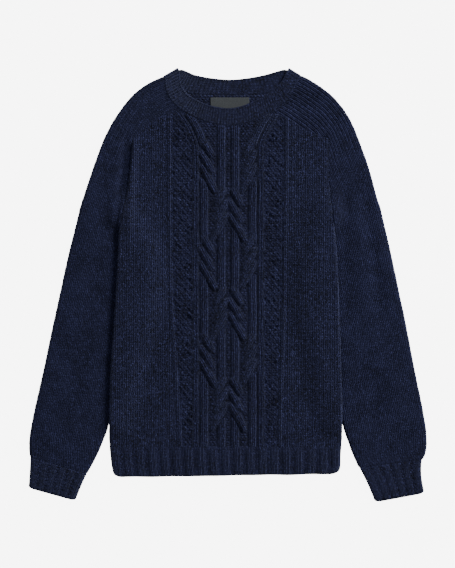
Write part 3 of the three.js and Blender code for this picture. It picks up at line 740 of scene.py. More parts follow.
# Strands of one crossing from the lowest up: step up from the lowest, distance from the middle line
# where they lean inwards, the same where they lean outwards, and reach
LONGEST_REACH = 23.5
STRANDS = (
    (0.0, 32.6, 15.6, LONGEST_REACH),
    (27.0, 35.4, 12.4, 19.0),
    (50.5, 34.0, 14.0, 15.0),
)


@dataclass(frozen=True)
class Rope:
    """One bulging strand of a crossing, which both halves of the front show mirrored.

    Attributes:
        x: Distance of its middle from the front's middle line.
        y: Height of its middle along the front.
        lean: Step outwards for each millimetre down.
        reach: Distance from the middle to either end, along y.
        width: Width at the middle.
        height: Height at the middle.
    """

    x: float
    y: float
    lean: float
    reach: float
    width: float = 12.0
    height: float = 2.9

    def places(self, side: Array, y: Array) -> tuple[Array, Array]:
        """Coordinates of places in the strand's own directions.

        Args:
            side: Distance from the front's middle line, in millimetres.
            y: Along the front, in millimetres.

        Returns:
            Distance across the strand, positive on its upper side, and the way along it from -1 to 1.
        """
        size = math.hypot(self.lean, 1)
        down = self.y - y
        across = ((side - self.x) - self.lean * down) / size * math.copysign(1, self.lean)
        along = (down + self.lean * (side - self.x)) / size**2 / self.reach
        return across, along

    def rise(self, side: Array, y: Array) -> Array:
        """Height of the strand.

        Args:
            side: Distance from the front's middle line, in millimetres.
            y: Along the front, in millimetres.

        Returns:
            Rise in millimetres.
        """
        across, along = self.places(side, y)
        taper = np.clip(1 - along**2, 0, 1) ** 0.45
        width = self.width * (0.45 + 0.55 * taper)
        return bump(np.abs(across), width, self.height, 0.5) * taper

    def groove(self, side: Array, y: Array) -> Array:
        """Groove along the strand's lower side, deepest under the longest strands.

        Args:
            side: Distance from the front's middle line, in millimetres.
            y: Along the front, in millimetres.

        Returns:
            Share of the full depth.
        """
        across, along = self.places(side, y)
        fade = smooth((along + 0.9) * 0.75) * smooth((1.2 - along) * 3) * self.reach / LONGEST_REACH
        return np.exp(-(((across + self.width * 0.50) / 1.5) ** 2)) * fade


# Soft ridges and troughs of the front: x, y along each line, then width and height
FRONT_CREASES = (
    Crease(((-172, -238), (-129, -252), (-100, -244)), 22, -1.2),
    Crease(((112, -252), (140, -250), (165, -239)), 20, -1.1),
    Crease(((-146, 139), (-150, 30), (-155, -90)), 40, 0.6),
    Crease(((150, 70), (154, -60), (158, -170)), 38, 0.5),
    Crease(((166, 172), (146, 130), (122, 80)), 30, 0.7),
    Crease(((-168, 160), (-146, 120), (-128, 70)), 30, -0.6),
    Crease(((-118, -30), (-132, -110), (-126, -190)), 34, -0.5),
    Crease(((120, -20), (110, -100), (124, -200)), 34, -0.5),
    Crease(((-153, 270), (-160, 165), (-168, 50)), 15, 4.6),
    Crease(((152, 222), (156, 165), (160, 110)), 14, 0.9),
)

# The same for the back, where the cloth can only rise from the floor
BACK_CREASES = (
    Crease(((-150, 150), (-120, 60), (-128, -60)), 34, 0.8),
    Crease(((140, 120), (128, 20), (140, -120)), 34, 0.7),
    Crease(((-60, -60), (-40, -150), (-66, -220)), 30, 0.6),
    Crease(((70, 120), (50, 30), (64, -90)), 28, 0.6),
)

# The same for the upper side of the sleeves
SLEEVE_CREASES = {
    Side.LEFT: (
        Crease(((-166, 270), (-177, 165), (-188, 50)), 14, -3.6),
        Crease(((-212, 200), (-240, 60), (-268, -80)), 34, 1.2),
        Crease(((-222, -20), (-236, -110), (-256, -200)), 26, -1.1),
        Crease(((-300, -226), (-270, -236), (-240, -240)), 18, 1.2),
        Crease(((-292, -110), (-300, -170), (-300, -215)), 22, 0.9),
    ),
    Side.RIGHT: (
        Crease(((184, 150), (190, 60), (198, -60), (208, -150)), 18, -1.2),
        Crease(((202, 190), (218, 60), (232, -90)), 24, 1.5),
        Crease(((222, 170), (242, 40), (258, -100)), 18, -1.0),
        Crease(((232, 150), (258, 20), (272, -60)), 22, 1.0),
        Crease(((262, -110), (276, -180), (272, -236)), 28, 1.1),
        Crease(((236, -150), (244, -200), (240, -246)), 22, -1.0),
    ),
}

@dataclass(frozen=True)
class Cables:
    """Relief of the front: flat columns that cross as ropes, narrow ribs and moss columns.

    Attributes:
        height: Height of the flat columns.
        half_width: Half of a flat column's width.
        border_depth: Depth of the line beside a flat column.
        groove_depth: Depth of the groove under a strand.
        wale_depth: Depth of the lines between wales.
        outer_x: Distance of the outer columns from the middle line.
        inner_x: Distance of the inner columns from the middle line.
        lean: Step sideways of a strand for each millimetre down.
        rib_x: Distance of the double ribs from the middle line.
        rib_height: Height of a rib.
        rib_gap: Distance of each rib from the middle of its pair.
        turn_y: Height above which the outer lines turn outwards.
        moss_from: Distance of the moss columns' inner edge from the middle line.
        knob_height: Height of a moss knob.
        border_half: Half of the width that the border of a moss column takes.
        crossing_length: Length of a crossing above its lowest strand's middle.
        crossings: Height of each crossing's lowest strand, and whether it leans inwards.
    """

    height: float = 1.2
    half_width: float = 8.0
    border_depth: float = 0.9
    groove_depth: float = 1.8
    wale_depth: float = 0.6
    outer_x: float = 40.0
    inner_x: float = 11.2
    lean: float = 0.56
    rib_x: float = 53.6
    rib_height: float = 1.5
    rib_gap: float = 2.9
    turn_y: float = 224.0
    moss_from: float = 58.5
    knob_height: float = 3.9
    border_half: float = 4.6
    crossing_length: float = 58.0
    crossings: tuple[tuple[float, bool], ...] = (
        (174.0, True), (93.0, False), (14.5, True), (-70.0, False), (-147.0, True), (-219.0, False),
    )

    def strands(self) -> list[Rope]:
        """List the strands of one half of the front.

        Returns:
            Every strand, from the top crossing down.
        """
        ropes = []
        for low, inward in self.crossings:
            for step, inward_x, outward_x, reach in STRANDS:
                lean = -self.lean if inward else self.lean
                ropes.append(Rope(inward_x if inward else outward_x, low + step, lean, reach))
        return ropes

    def in_crossing(self, y: Array, inward: bool) -> Array:
        """How far places lie within the crossings of one direction.

        Args:
            y: Along the front, in millimetres.
            inward: Whether the strands of those crossings lean inwards.

        Returns:
            A share from 0 to 1.
        """
        share = np.zeros_like(y)
        for low, goes_inward in self.crossings:
            if goes_inward == inward:
                below_top = smooth((low + self.crossing_length - y) / 8)
                share = np.maximum(share, below_top * smooth((y - low + 6) / 8))
        return share

    def spread_at(self, y: Array) -> Array:
        """How far the outer lines have moved outwards on their way up to the neck."""
        return 14.0 * np.clip((y - self.turn_y) / 37.0, 0, None) ** 1.6

    def relief(self, x: Array, y: Array) -> tuple[Array, Array, Array]:
        """Height of the pattern, its purl areas and its stitch coordinates.

        Args:
            x: Across the front, in millimetres.
            y: Along the front, in millimetres.

        Returns:
            Rise in millimetres, share of purl, and stitch coordinates.
        """
        spread = self.spread_at(y)
        side = np.abs(x) + 0.6 * wander(x * 0.3, y, 11, 60)
        sign = np.sign(x)
        outer_gap = side - self.outer_x - spread
        inner_gap = side - self.inner_x
        rib_gap = side - self.rib_x - spread
        in_outer, in_inner = self.in_crossing(y, True), self.in_crossing(y, False)
        outer = plateau(np.abs(outer_gap), self.half_width, self.height) * (1 - in_outer)
        inner = plateau(np.abs(inner_gap), self.half_width, self.height) * (1 - in_inner)
        rib = bump(np.abs(np.abs(rib_gap) - self.rib_gap), 4.6, self.rib_height, 0.8)
        best = np.maximum(np.maximum(outer, inner), rib)
        knit = np.stack([x / CLOTH.wale, y / CLOTH.course], axis=-1)
        columns = ((outer_gap, self.half_width, 0.0), (inner_gap, self.half_width, 0.0), (rib_gap, 5, 0.5))
        for gap, width, middle in columns:
            near = np.abs(gap) < width
            knit[..., 0] = np.where(near, sign * gap / CLOTH.rope_wale + middle, knit[..., 0])
        groove = np.zeros_like(best)
        for gap, crossing in ((outer_gap, in_outer), (inner_gap, in_inner)):
            border = np.exp(-(((np.abs(gap) - self.half_width) / 1.3) ** 2)) * (1 - crossing)
            groove = np.maximum(groove, border * self.border_depth / 1.5)
        for rope in self.strands():
            rise = rope.rise(side, y)
            across, along = rope.places(side, y)
            on_top = (rise > best) & (rise > 0.3)
            knit[..., 0] = np.where(on_top, across / CLOTH.rope_wale, knit[..., 0])
            knit[..., 1] = np.where(on_top, -along * rope.reach / CLOTH.course, knit[..., 1])
            best = np.where(on_top, rise, best)
            groove = np.where(on_top, 0.0, np.maximum(groove, rope.groove(side, y)))
        in_cable = side < self.rib_x + spread + 6
        purl = np.where(in_cable, 1 - smooth(best / 0.8), 0.0)
        moss, moss_share = self.moss(x, y)
        wales = self.wale_depth * (np.abs(np.sin(knit[..., 0] * math.pi)) ** 0.7 - 1)
        wales = wales * (in_cable & (purl < 0.5))
        rise = best + wales - self.groove_depth * groove - 0.5 * purl + moss
        return rise, np.maximum(purl, 0.75 * moss_share), knit

    def moss(self, x: Array, y: Array) -> tuple[Array, Array]:
        """Height of the moss columns and of their borders.

        Args:
            x: Across the front, in millimetres.
            y: Along the front, in millimetres.

        Returns:
            Rise in millimetres, and the share of moss.
        """
        left = spline(MOSS_BORDERS[:, 0].astype(float), MOSS_BORDERS[:, 1], y)
        right = spline(MOSS_BORDERS[:, 0].astype(float), MOSS_BORDERS[:, 2], y)
        border = np.where(x < 0, -left, right)
        side = np.abs(x)
        within = smooth((side - self.moss_from - self.spread_at(y)) / 2.5)
        within = within * smooth((border - 4.5 - side) / 2.5)
        shift_x = 1.1 * wander(x, y, 21, 10)
        shift_y = 1.2 * wander(x, y, 22, 9)
        across = (x + shift_x) / CLOTH.wale * math.pi
        along = (y + shift_y) / (1.5 * CLOTH.course) * math.pi
        knobs = np.sin(across) * np.sin(along)
        knobs = 0.36 * knobs + 0.5 * wander(x, y, 24, 7.5) * wander(x, y, 25, 7.0)
        uneven = 0.75 + 0.35 * wander(x, y, 23, 24)
        edge = bump(np.abs(side - border), 7.5, 1.2, 0.8)
        dip_in = -0.7 * np.exp(-(((side - border + self.border_half) / 1.6) ** 2))
        dip_out = 0.5 * np.exp(-(((side - border - self.border_half) / 1.6) ** 2))
        dip = dip_in - dip_out
        return within * (knobs * uneven * self.knob_height - 0.2) + edge + dip, within


def rim(distance: Array, depth: float = 1.2, width: float = 2.4) -> Array:
    """Fall of the face towards a rounded rim.

    Args:
        distance: Distance from the rim along the cloth.
        depth: Fall at the rim itself.
        width: Distance over which the face falls.

    Returns:
        A rise that is zero or negative.
    """
    t = np.clip(distance / width, 0, 1)
    return -depth * (1 - np.sqrt(np.clip(1 - (1 - t) ** 2, 0, 1)))


@dataclass(frozen=True)
class Slab:
    """A thick sheet made from a grid, with a fine outer face and a coarser inner one.

    Attributes:
        sheet: The grid on the middle of the wall.
        rise: Relief over the outer face, in millimetres.
        purl: Share of purl at each place.
        inner_rise: Relief over the inner face, in millimetres, which pushes it away from the outer one.
        thin: How many steps of the fine grid make one of the inner grid.
        ring: Whether the last column joins the first.
        inner_purl: Share of purl over the inner face.
    """

    sheet: Sheet
    rise: Array
    purl: Array
    inner_rise: Array
    thin: int = 4
    ring: bool = False
    inner_purl: float = 1.0

    def picks(self, count: int) -> Array:
        """Numbers of the fine lines that the inner grid keeps."""
        return np.unique(np.append(np.arange(0, count - 1, self.thin), count - 1))

    def build(self, name: str) -> bpy.types.Object:
        """Make the mesh, closed and with its stitch coordinates.

        Args:
            name: Name of the piece.

        Returns:
            The piece, linked to the scene.
        """
        points, normals = self.sheet.points, self.sheet.normals
        rows, columns = points.shape[:2]
        outer = points + normals * (CLOTH.wall / 2 + self.rise)[..., None]
        inner = points - normals * (CLOTH.wall / 2 + self.inner_rise)[..., None]
        keep_rows, keep_columns = self.picks(rows), self.picks(columns)
        if self.ring:
            keep_columns = np.arange(0, columns, self.thin)
        kept = inner[np.ix_(keep_rows, keep_columns)]
        fine = np.arange(rows * columns).reshape(rows, columns)
        coarse = fine.size + np.arange(kept.shape[0] * kept.shape[1]).reshape(kept.shape[:2])
        if self.ring:
            fine = np.concatenate([fine, fine[:, :1]], axis=1)
            coarse = np.concatenate([coarse, coarse[:, :1]], axis=1)
            keep_columns = np.append(keep_columns, columns)
        faces = self.quads(fine, False) + self.quads(coarse, True)
        faces += self.wall(fine[0], coarse[0], keep_columns, False)
        faces += self.wall(fine[-1], coarse[-1], keep_columns, True)
        if not self.ring:
            faces += self.wall(fine[:, 0], coarse[:, 0], keep_rows, True)
            faces += self.wall(fine[:, -1], coarse[:, -1], keep_rows, False)
        if self.faces_in(outer):
            faces = [face[::-1] for face in faces]
        vertices = np.concatenate([outer.reshape(-1, 3), kept.reshape(-1, 3)]) * MM
        knit_kept = self.sheet.knit[np.ix_(keep_rows, keep_columns % columns)][:, :kept.shape[1]]
        knit = np.concatenate([self.sheet.knit.reshape(-1, 2), knit_kept.reshape(-1, 2)])
        inner_purl = np.full(kept.shape[0] * kept.shape[1], self.inner_purl)
        purl = np.concatenate([self.purl.ravel(), inner_purl])
        return mesh_piece(name, vertices, faces, knit, purl)

    def faces_in(self, outer: Array) -> bool:
        """Find whether the grid's faces look inwards, because its rows run the other way.

        Args:
            outer: Points of the outer face.

        Returns:
            Whether they do.
        """
        along_row = outer[:-1, 1:] - outer[:-1, :-1]
        to_next = outer[1:, :-1] - outer[:-1, :-1]
        facing = np.cross(along_row, to_next)
        return float((facing * self.sheet.normals[:-1, :-1]).sum()) < 0

    @staticmethod
    def quads(grid: Array, back: bool) -> list[tuple[int, ...]]:
        """Four-sided faces of a grid of vertex numbers.

        Args:
            grid: Vertex numbers.
            back: Whether the faces look the other way.

        Returns:
            The faces.
        """
        a, b, c, d = grid[:-1, :-1], grid[:-1, 1:], grid[1:, 1:], grid[1:, :-1]
        order = (a, d, c, b) if back else (a, b, c, d)
        return np.stack([corner.ravel() for corner in order], axis=-1).tolist()

    @staticmethod
    def wall(fine: Array, coarse: Array, picks: Array, back: bool) -> list[tuple[int, ...]]:
        """Faces between a fine edge and a coarse one.

        Args:
            fine: Vertex numbers along the fine edge.
            coarse: Vertex numbers along the coarse edge.
            picks: Positions of the coarse edge's vertices along the fine edge.
            back: Whether the faces look the other way.

        Returns:
            The faces, all three-sided.
        """
        faces = []
        for number in range(len(picks) - 1):
            near, far = int(coarse[number]), int(coarse[number + 1])
            for step in range(picks[number], picks[number + 1]):
                faces.append((int(fine[step + 1]), int(fine[step]), near))
            faces.append((int(fine[picks[number + 1]]), near, far))
        return [face[::-1] for face in faces] if back else faces


def mesh_piece(
    name: str, vertices: Array, faces: Sequence[Sequence[int]], knit: Array, purl: Array
) -> bpy.types.Object:
    """Make an object with stitch coordinates and a share of purl.

    Args:
        name: Name of the piece.
        vertices: Positions in metres.
        faces: Vertex numbers of each face.
        knit: Stitch coordinates of each vertex.
        purl: Share of purl at each vertex.

    Returns:
        The piece, linked to the scene.
    """
    mesh = bpy.data.meshes.new(name)
    mesh.from_pydata(vertices.tolist(), [], faces)
    corner_vertices = np.empty(len(mesh.loops), dtype=np.int32)
    mesh.loops.foreach_get("vertex_index", corner_vertices)
    layer = mesh.uv_layers.new(name="Stitches")
    layer.data.foreach_set("uv", knit[corner_vertices].ravel())
    share = mesh.attributes.new("purl", "FLOAT", "POINT")
    share.data.foreach_set("value", purl.astype(np.float32))
    mesh.polygons.foreach_set("use_smooth", np.ones(len(mesh.polygons), dtype=bool))
    mesh.update()
    piece = bpy.data.objects.new(name, mesh)
    bpy.context.scene.collection.objects.link(piece)
    return piece


class Graph:
    """Builds a node tree in few words."""

    def __init__(self, tree: bpy.types.NodeTree) -> None:
        """Start on a tree, which is emptied."""
        self.tree = tree
        tree.nodes.clear()

    def add(
        self, kind: str, sockets: dict[str | int, object] | None = None, **settings: object
    ) -> bpy.types.Node:
        """Add a node.

        Args:
            kind: Blender's name of the node type.
            sockets: Input name or number with the output that feeds it, or with its value.
            **settings: Properties of the node.

        Returns:
            The node.
        """
        node = self.tree.nodes.new(kind)
        for name, value in settings.items():
            setattr(node, name, value)
        for name, value in (sockets or {}).items():
            if isinstance(value, bpy.types.NodeSocket):
                self.tree.links.new(value, node.inputs[name])
            else:
                node.inputs[name].default_value = value
        return node

    def math(self, operation: str, *values: object) -> bpy.types.NodeSocket:
        """Result of a Math node on outputs or numbers."""
        return self.add("ShaderNodeMath", dict(enumerate(values)), operation=operation).outputs[0]

    def spread(self, value: object, low: float, high: float) -> bpy.types.NodeSocket:
        """Value eased from 0 at low to 1 at high."""
        sockets = {"Value": value, "From Min": low, "From Max": high}
        return self.add("ShaderNodeMapRange", sockets, interpolation_type="SMOOTHSTEP").outputs[0]

    def noise(self, vector: object, scale: float, detail: float, roughness: float) -> bpy.types.NodeSocket:
        """Value of a Noise texture."""
        sockets = {"Vector": vector, "Scale": scale, "Detail": detail, "Roughness": roughness}
        return self.add("ShaderNodeTexNoise", sockets).outputs[0]

    def mix(self, share: object, low: object, high: object) -> bpy.types.NodeSocket:
        """Colour mixed by a share.

        Args:
            share: 0 for the low colour and 1 for the high one.
            low: Colour or output at 0.
            high: Colour or output at 1.

        Returns:
            The mixed colour.
        """
        node = self.add("ShaderNodeMix", data_type="RGBA")
        for name, value in (("Factor_Float", share), ("A_Color", low), ("B_Color", high)):
            socket = next(s for s in node.inputs if s.identifier == name)
            if isinstance(value, bpy.types.NodeSocket):
                self.tree.links.new(value, socket)
            else:
                socket.default_value = value
        return next(s for s in node.outputs if s.identifier == "Result_Color")


def new_group(name: str, inputs: Sequence[tuple[str, str]], outputs: Sequence[tuple[str, str]]) -> Graph:
    """Start a shader node group.

    Args:
        name: Name of the group.
        inputs: Name and socket type of each input.
        outputs: Name and socket type of each output.

    Returns:
        Its graph, without nodes.
    """
    tree = bpy.data.node_groups.new(name, "ShaderNodeTree")
    for label, kind in inputs:
        tree.interface.new_socket(label, in_out="INPUT", socket_type=kind)
    for label, kind in outputs:
        tree.interface.new_socket(label, in_out="OUTPUT", socket_type=kind)
    return Graph(tree)


@dataclass(frozen=True)
class StitchRelief:
    """Node group for the height of knit and purl stitches."""

    name: str = "Stitch relief"

    def build(self) -> bpy.types.NodeTree:
        """Make the group, once.

        Returns:
            The group, with the outputs Height and Groove.
        """
        if self.name in bpy.data.node_groups:
            return bpy.data.node_groups[self.name]
        graph = new_group(
            self.name,
            (("Stitches", "NodeSocketVector"), ("Purl", "NodeSocketFloat")),
            (("Height", "NodeSocketFloat"), ("Groove", "NodeSocketFloat")),
        )
        given = graph.add("NodeGroupInput")
        stitches, purl = given.outputs["Stitches"], given.outputs["Purl"]
        wobble = graph.add("ShaderNodeTexNoise", {"Vector": stitches, "Scale": 0.6, "Detail": 1.0})
        shift = graph.add(
            "ShaderNodeVectorMath", {0: wobble.outputs["Color"], 1: (0.5, 0.5, 0.5)}, operation="SUBTRACT"
        ).outputs[0]
        scaled = graph.add("ShaderNodeVectorMath", {0: shift, "Scale": 0.5}, operation="SCALE").outputs[0]
        moved = graph.add("ShaderNodeVectorMath", {0: stitches, 1: scaled}, operation="ADD").outputs[0]
        axes = graph.add("ShaderNodeSeparateXYZ", {0: moved}).outputs
        wale = graph.math("FRACT", axes[0])
        from_middle = graph.math("MULTIPLY", graph.math("ABSOLUTE", graph.math("SUBTRACT", wale, 0.5)), 2.0)
        leg = self.arch(graph, from_middle)
        slant = graph.math("MULTIPLY", from_middle, 0.75)
        course = graph.math("FRACT", graph.math("SUBTRACT", axes[1], slant))
        loop = self.arch(graph, course)
        knit = graph.math("MULTIPLY", leg, graph.math("ADD", graph.math("MULTIPLY", loop, 0.55), 0.45))
        sway = graph.math("MULTIPLY", graph.math("COSINE", graph.math("MULTIPLY", axes[0], math.tau)), 0.16)
        rows = graph.math("ADD", axes[1], sway)
        bar = self.arch(graph, graph.math("FRACT", rows))
        half_step = graph.math("MULTIPLY", graph.math("FLOOR", rows), math.pi)
        wave = graph.math("COSINE", graph.math("ADD", graph.math("MULTIPLY", axes[0], math.tau), half_step))
        bars = graph.math("ADD", graph.math("MULTIPLY", bar, 0.55), 0.25)
        arc = graph.math("MULTIPLY", bars, graph.math("ADD", graph.math("MULTIPLY", wave, 0.30), 0.70))
        flat_mix = graph.add("ShaderNodeMix", {"Factor": purl}, data_type="FLOAT")
        for identifier, value in (("A_Float", knit), ("B_Float", arc)):
            graph.tree.links.new(value, next(s for s in flat_mix.inputs if s.identifier == identifier))
        height = next(s for s in flat_mix.outputs if s.identifier == "Result_Float")
        groove = graph.math("SUBTRACT", 1.0, graph.spread(height, 0.05, 0.75))
        graph.add("NodeGroupOutput", {"Height": height, "Groove": groove})
        return graph.tree

    @staticmethod
    def arch(graph: Graph, share: bpy.types.NodeSocket) -> bpy.types.NodeSocket:
        """Rounded height over a share that runs from 0 to 1."""
        middle = graph.math("SUBTRACT", graph.math("MULTIPLY", share, 2.0), 1.0)
        return graph.math("SUBTRACT", 1.0, graph.math("MULTIPLY", middle, middle))


@dataclass(frozen=True)
class HeatheredYarn:
    """Node group for flecks and mottling of a yarn spun from fibres of several shades."""

    name: str = "Heathered yarn"

    def build(self) -> bpy.types.NodeTree:
        """Make the group, once.

        Returns:
            The group, with the outputs Light, Dark, Mottle and Fibre.
        """
        if self.name in bpy.data.node_groups:
            return bpy.data.node_groups[self.name]
        outputs = [(label, "NodeSocketFloat") for label in ("Light", "Dark", "Mottle", "Fibre")]
        graph = new_group(self.name, (("Place", "NodeSocketVector"),), outputs)
        place = graph.add("NodeGroupInput").outputs["Place"]
        light = graph.spread(graph.noise(place, 350.0, 3.0, 0.65), 0.50, 0.64)
        away = {0: place, 1: (3.17, 1.23, 0.51)}
        apart = graph.add("ShaderNodeVectorMath", away, operation="ADD").outputs[0]
        dark = graph.spread(graph.noise(apart, 270.0, 3.0, 0.6), 0.50, 0.60)
        mottle = graph.spread(graph.noise(place, 38.0, 4.0, 0.6), 0.3, 0.7)
        fibre = graph.noise(place, 2600.0, 3.0, 0.7)
        graph.add("NodeGroupOutput", {"Light": light, "Dark": dark, "Mottle": mottle, "Fibre": fibre})
        return graph.tree


@dataclass(frozen=True)
class Wool:
    """Finish of the knitted pieces.

    Attributes:
        name: Name of the material.
        base: Colour of the yarn, linear.
        light: Colour of the light flecks.
        dark: Colour of the dark flecks, and of the painted shade in the grooves and on the purl stitches.
        depth: Depth of the stitches, in metres.
        purl_shade: Strength of the shade painted onto the sunken purl stitches.
        flecks: Strength of the light and dark flecks.
        groove_shade: Strength of the shade painted into the hollows between the stitches.
        mottle: Strength of the broad lighter patches.
        fibre: Height of the fibres, as a share of the stitches'.
        roughness: Roughness of the yarn.
        sheen: Strength of the nap's sheen.
        sheen_tint: Colour of the sheen.
    """

    name: str
    base: tuple[float, float, float, float] = (0.0128, 0.0158, 0.0560, 1.0)
    light: tuple[float, float, float, float] = (0.066, 0.076, 0.215, 1.0)
    dark: tuple[float, float, float, float] = (0.0008, 0.0010, 0.0036, 1.0)
    depth: float = 0.0026
    purl_shade: float = 0.30
    flecks: float = 0.85
    groove_shade: float = 0.74
    mottle: float = 0.12
    fibre: float = 0.22
    roughness: float = 0.92
    sheen: float = 0.28
    sheen_tint: tuple[float, float, float, float] = (0.32, 0.36, 0.66, 1.0)

    def build(self) -> bpy.types.Material:
        """Make the material, once.

        Returns:
            The material.
        """
        if self.name in bpy.data.materials:
            return bpy.data.materials[self.name]
        material = bpy.data.materials.new(self.name)
        material.use_nodes = True
        graph = Graph(material.node_tree)
        stitches = graph.add("ShaderNodeUVMap", uv_map="Stitches").outputs[0]
        place = graph.add("ShaderNodeTexCoord").outputs["Object"]
        purl = graph.add("ShaderNodeAttribute", attribute_name="purl").outputs["Fac"]
        relief = graph.add("ShaderNodeGroup", node_tree=StitchRelief().build())
        yarn = graph.add("ShaderNodeGroup", node_tree=HeatheredYarn().build())
        feeds = ((relief, "Stitches", stitches), (relief, "Purl", purl), (yarn, "Place", place))
        for node, socket, output in feeds:
            graph.tree.links.new(output, node.inputs[socket])
        body = self.base
        # Flecks and mottle are the yarn's own colour. The grooves and the sunken purl stitches get painted
        # shade, mixed towards the dark colour.
        layers = (
            (yarn.outputs["Light"], self.flecks, self.light),
            (yarn.outputs["Dark"], self.flecks, self.dark),
            (relief.outputs["Groove"], self.groove_shade, self.dark),
            (purl, self.purl_shade, self.dark),
            (yarn.outputs["Mottle"], self.mottle, self.light),
        )
        for mask, strength, colour in layers:
            body = graph.mix(graph.math("MULTIPLY", mask, strength), body, colour)
        fibres = graph.math("MULTIPLY", yarn.outputs["Fibre"], self.fibre)
        height = graph.math("ADD", relief.outputs["Height"], fibres)
        bumped = graph.add("ShaderNodeBump", {"Height": height, "Strength": 1.0, "Distance": self.depth})
        shader = graph.add("ShaderNodeBsdfPrincipled", {
            "Base Color": body, "Normal": bumped.outputs[0], "Roughness": self.roughness,
            "Specular IOR Level": 0.25, "Sheen Weight": self.sheen, "Sheen Roughness": 0.45,
            "Sheen Tint": self.sheen_tint,
        })
        graph.add("ShaderNodeOutputMaterial", {"Surface": shader.outputs[0]})
        return material


@dataclass(frozen=True)
class Tape:
    """Finish of the woven label, which is bare.

    Attributes:
        name: Name of the material.
        warp: Darker colour of the weave, linear.
        weft: Lighter colour of the weave.
        thread: Width of one repeat of the weave, in metres.
    """

    name: str = "Label tape"
    warp: tuple[float, float, float, float] = (0.043, 0.049, 0.053, 1.0)
    weft: tuple[float, float, float, float] = (0.072, 0.080, 0.087, 1.0)
    thread: float = 0.0006

    def build(self) -> bpy.types.Material:
        """Make the material, once.

        Returns:
            The material.
        """
        if self.name in bpy.data.materials:
            return bpy.data.materials[self.name]
        material = bpy.data.materials.new(self.name)
        material.use_nodes = True
        graph = Graph(material.node_tree)
        place = graph.add("ShaderNodeTexCoord").outputs["Object"]
        axes = graph.add("ShaderNodeSeparateXYZ", {0: place}).outputs
        turns = math.tau / self.thread
        threads = [graph.math("SINE", graph.math("MULTIPLY", axis, turns)) for axis in (axes[0], axes[1])]
        weave = graph.spread(graph.math("MULTIPLY", *threads), -0.8, 0.8)
        colour = graph.mix(weave, self.warp, self.weft)
        bumped = graph.add("ShaderNodeBump", {"Height": weave, "Strength": 0.5, "Distance": 0.00015})
        shader = graph.add("ShaderNodeBsdfPrincipled", {
            "Base Color": colour, "Normal": bumped.outputs[0], "Roughness": 0.6, "Specular IOR Level": 0.35,
            "Sheen Weight": 0.1, "Sheen Roughness": 0.4,
        })
        graph.add("ShaderNodeOutputMaterial", {"Surface": shader.outputs[0]})
        return material


def dress(piece: bpy.types.Object, material: bpy.types.Material, slot: str, *nodes: str) -> None:
    """Give a piece its finish and tie it to the solids that it stands for.

    Args:
        piece: The piece.
        material: Its finish.
        slot: Name of a material slot, which is not used.
        *nodes: Solids that it replaces.
    """
    piece.data.materials.append(material)
    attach(piece, "root")
    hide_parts(*nodes)


@dataclass
class Panel:
    """The front or the back of the body.

    Attributes:
        layer: Which layer it is.
        finish: Its wool.
        cut: Width and length of the cut, in metres, and its area; not used.
        creases: Soft ridges and troughs.
        spacing: Width of a column of the grid.
        thin: How many steps of the fine grid make one of the inner grid.
        usual_length: Length that the rows are counted for.
        pattern_half: Half of the width that the pattern of the front takes.
        form: The laid tube of the body.
    """

    layer: Layer
    finish: Wool
    cut: tuple[float, float, float]
    creases: tuple[Crease, ...]
    spacing: float = 1.7
    thin: int = 5
    usual_length: float = 520.0
    pattern_half: float = 108.0
    form: BodyForm = BodyForm()

    def levels(self, x: Array) -> Array:
        """Lay the rows, from the hem seam to the seam at the top.

        Args:
            x: X of each column.

        Returns:
            Y of each row and column.
        """
        top = self.form.top(self.layer, x)
        share = with_rims(0, self.usual_length, self.spacing * 1.02) / self.usual_length
        return self.form.bottom + (top - self.form.bottom)[None, :] * share[:, None]

    def build(self) -> bpy.types.Object:
        """Make and dress the panel.

        Returns:
            The piece.
        """
        sheet = self.form.sheet(self.layer, self.spacing, self.levels)
        x, y = sheet.points[..., 0], sheet.points[..., 1]
        to_edge = np.minimum(y[-1:] - y, y - y[:1])
        wales = sheet.knit[..., 0] * CLOTH.wale
        to_side = np.minimum(wales - wales[:, :1], wales[:, -1:] - wales)
        for crease in self.creases:
            sheet.points[..., 2] += crease.rise(x, y) * smooth(to_edge / 12) * smooth(to_side / 6)
        open_side = 1 - self.form.bend(y) / (math.pi / 2)
        rise = rim(y[-1:] - y, 0.9) + rim(y - y[:1], 0.4) + rim(to_side, 0.7, 3.0) * open_side
        purl = np.zeros_like(rise)
        if self.layer is Layer.FRONT:
            relief, purl, knit = Cables().relief(x, y)
            inside = np.abs(x) < self.pattern_half
            sheet.knit[inside] = knit[inside]
            rise = rise + relief * smooth(to_edge / 3.5)
            rise = rise + wale_rise(wales, 0.32) * (~inside)
        rise = rise + 0.8 * (1 - np.abs(sheet.normals[..., 2])) + 0.22 * wander(x, y, 51, 9)
        piece = Slab(sheet, rise, purl, rim(to_edge, 0.9, 2.2), self.thin).build(f"knit_{self.layer.value}")
        dress(piece, self.finish.build(), "knit", f"{self.layer.value}_panel")
        return piece


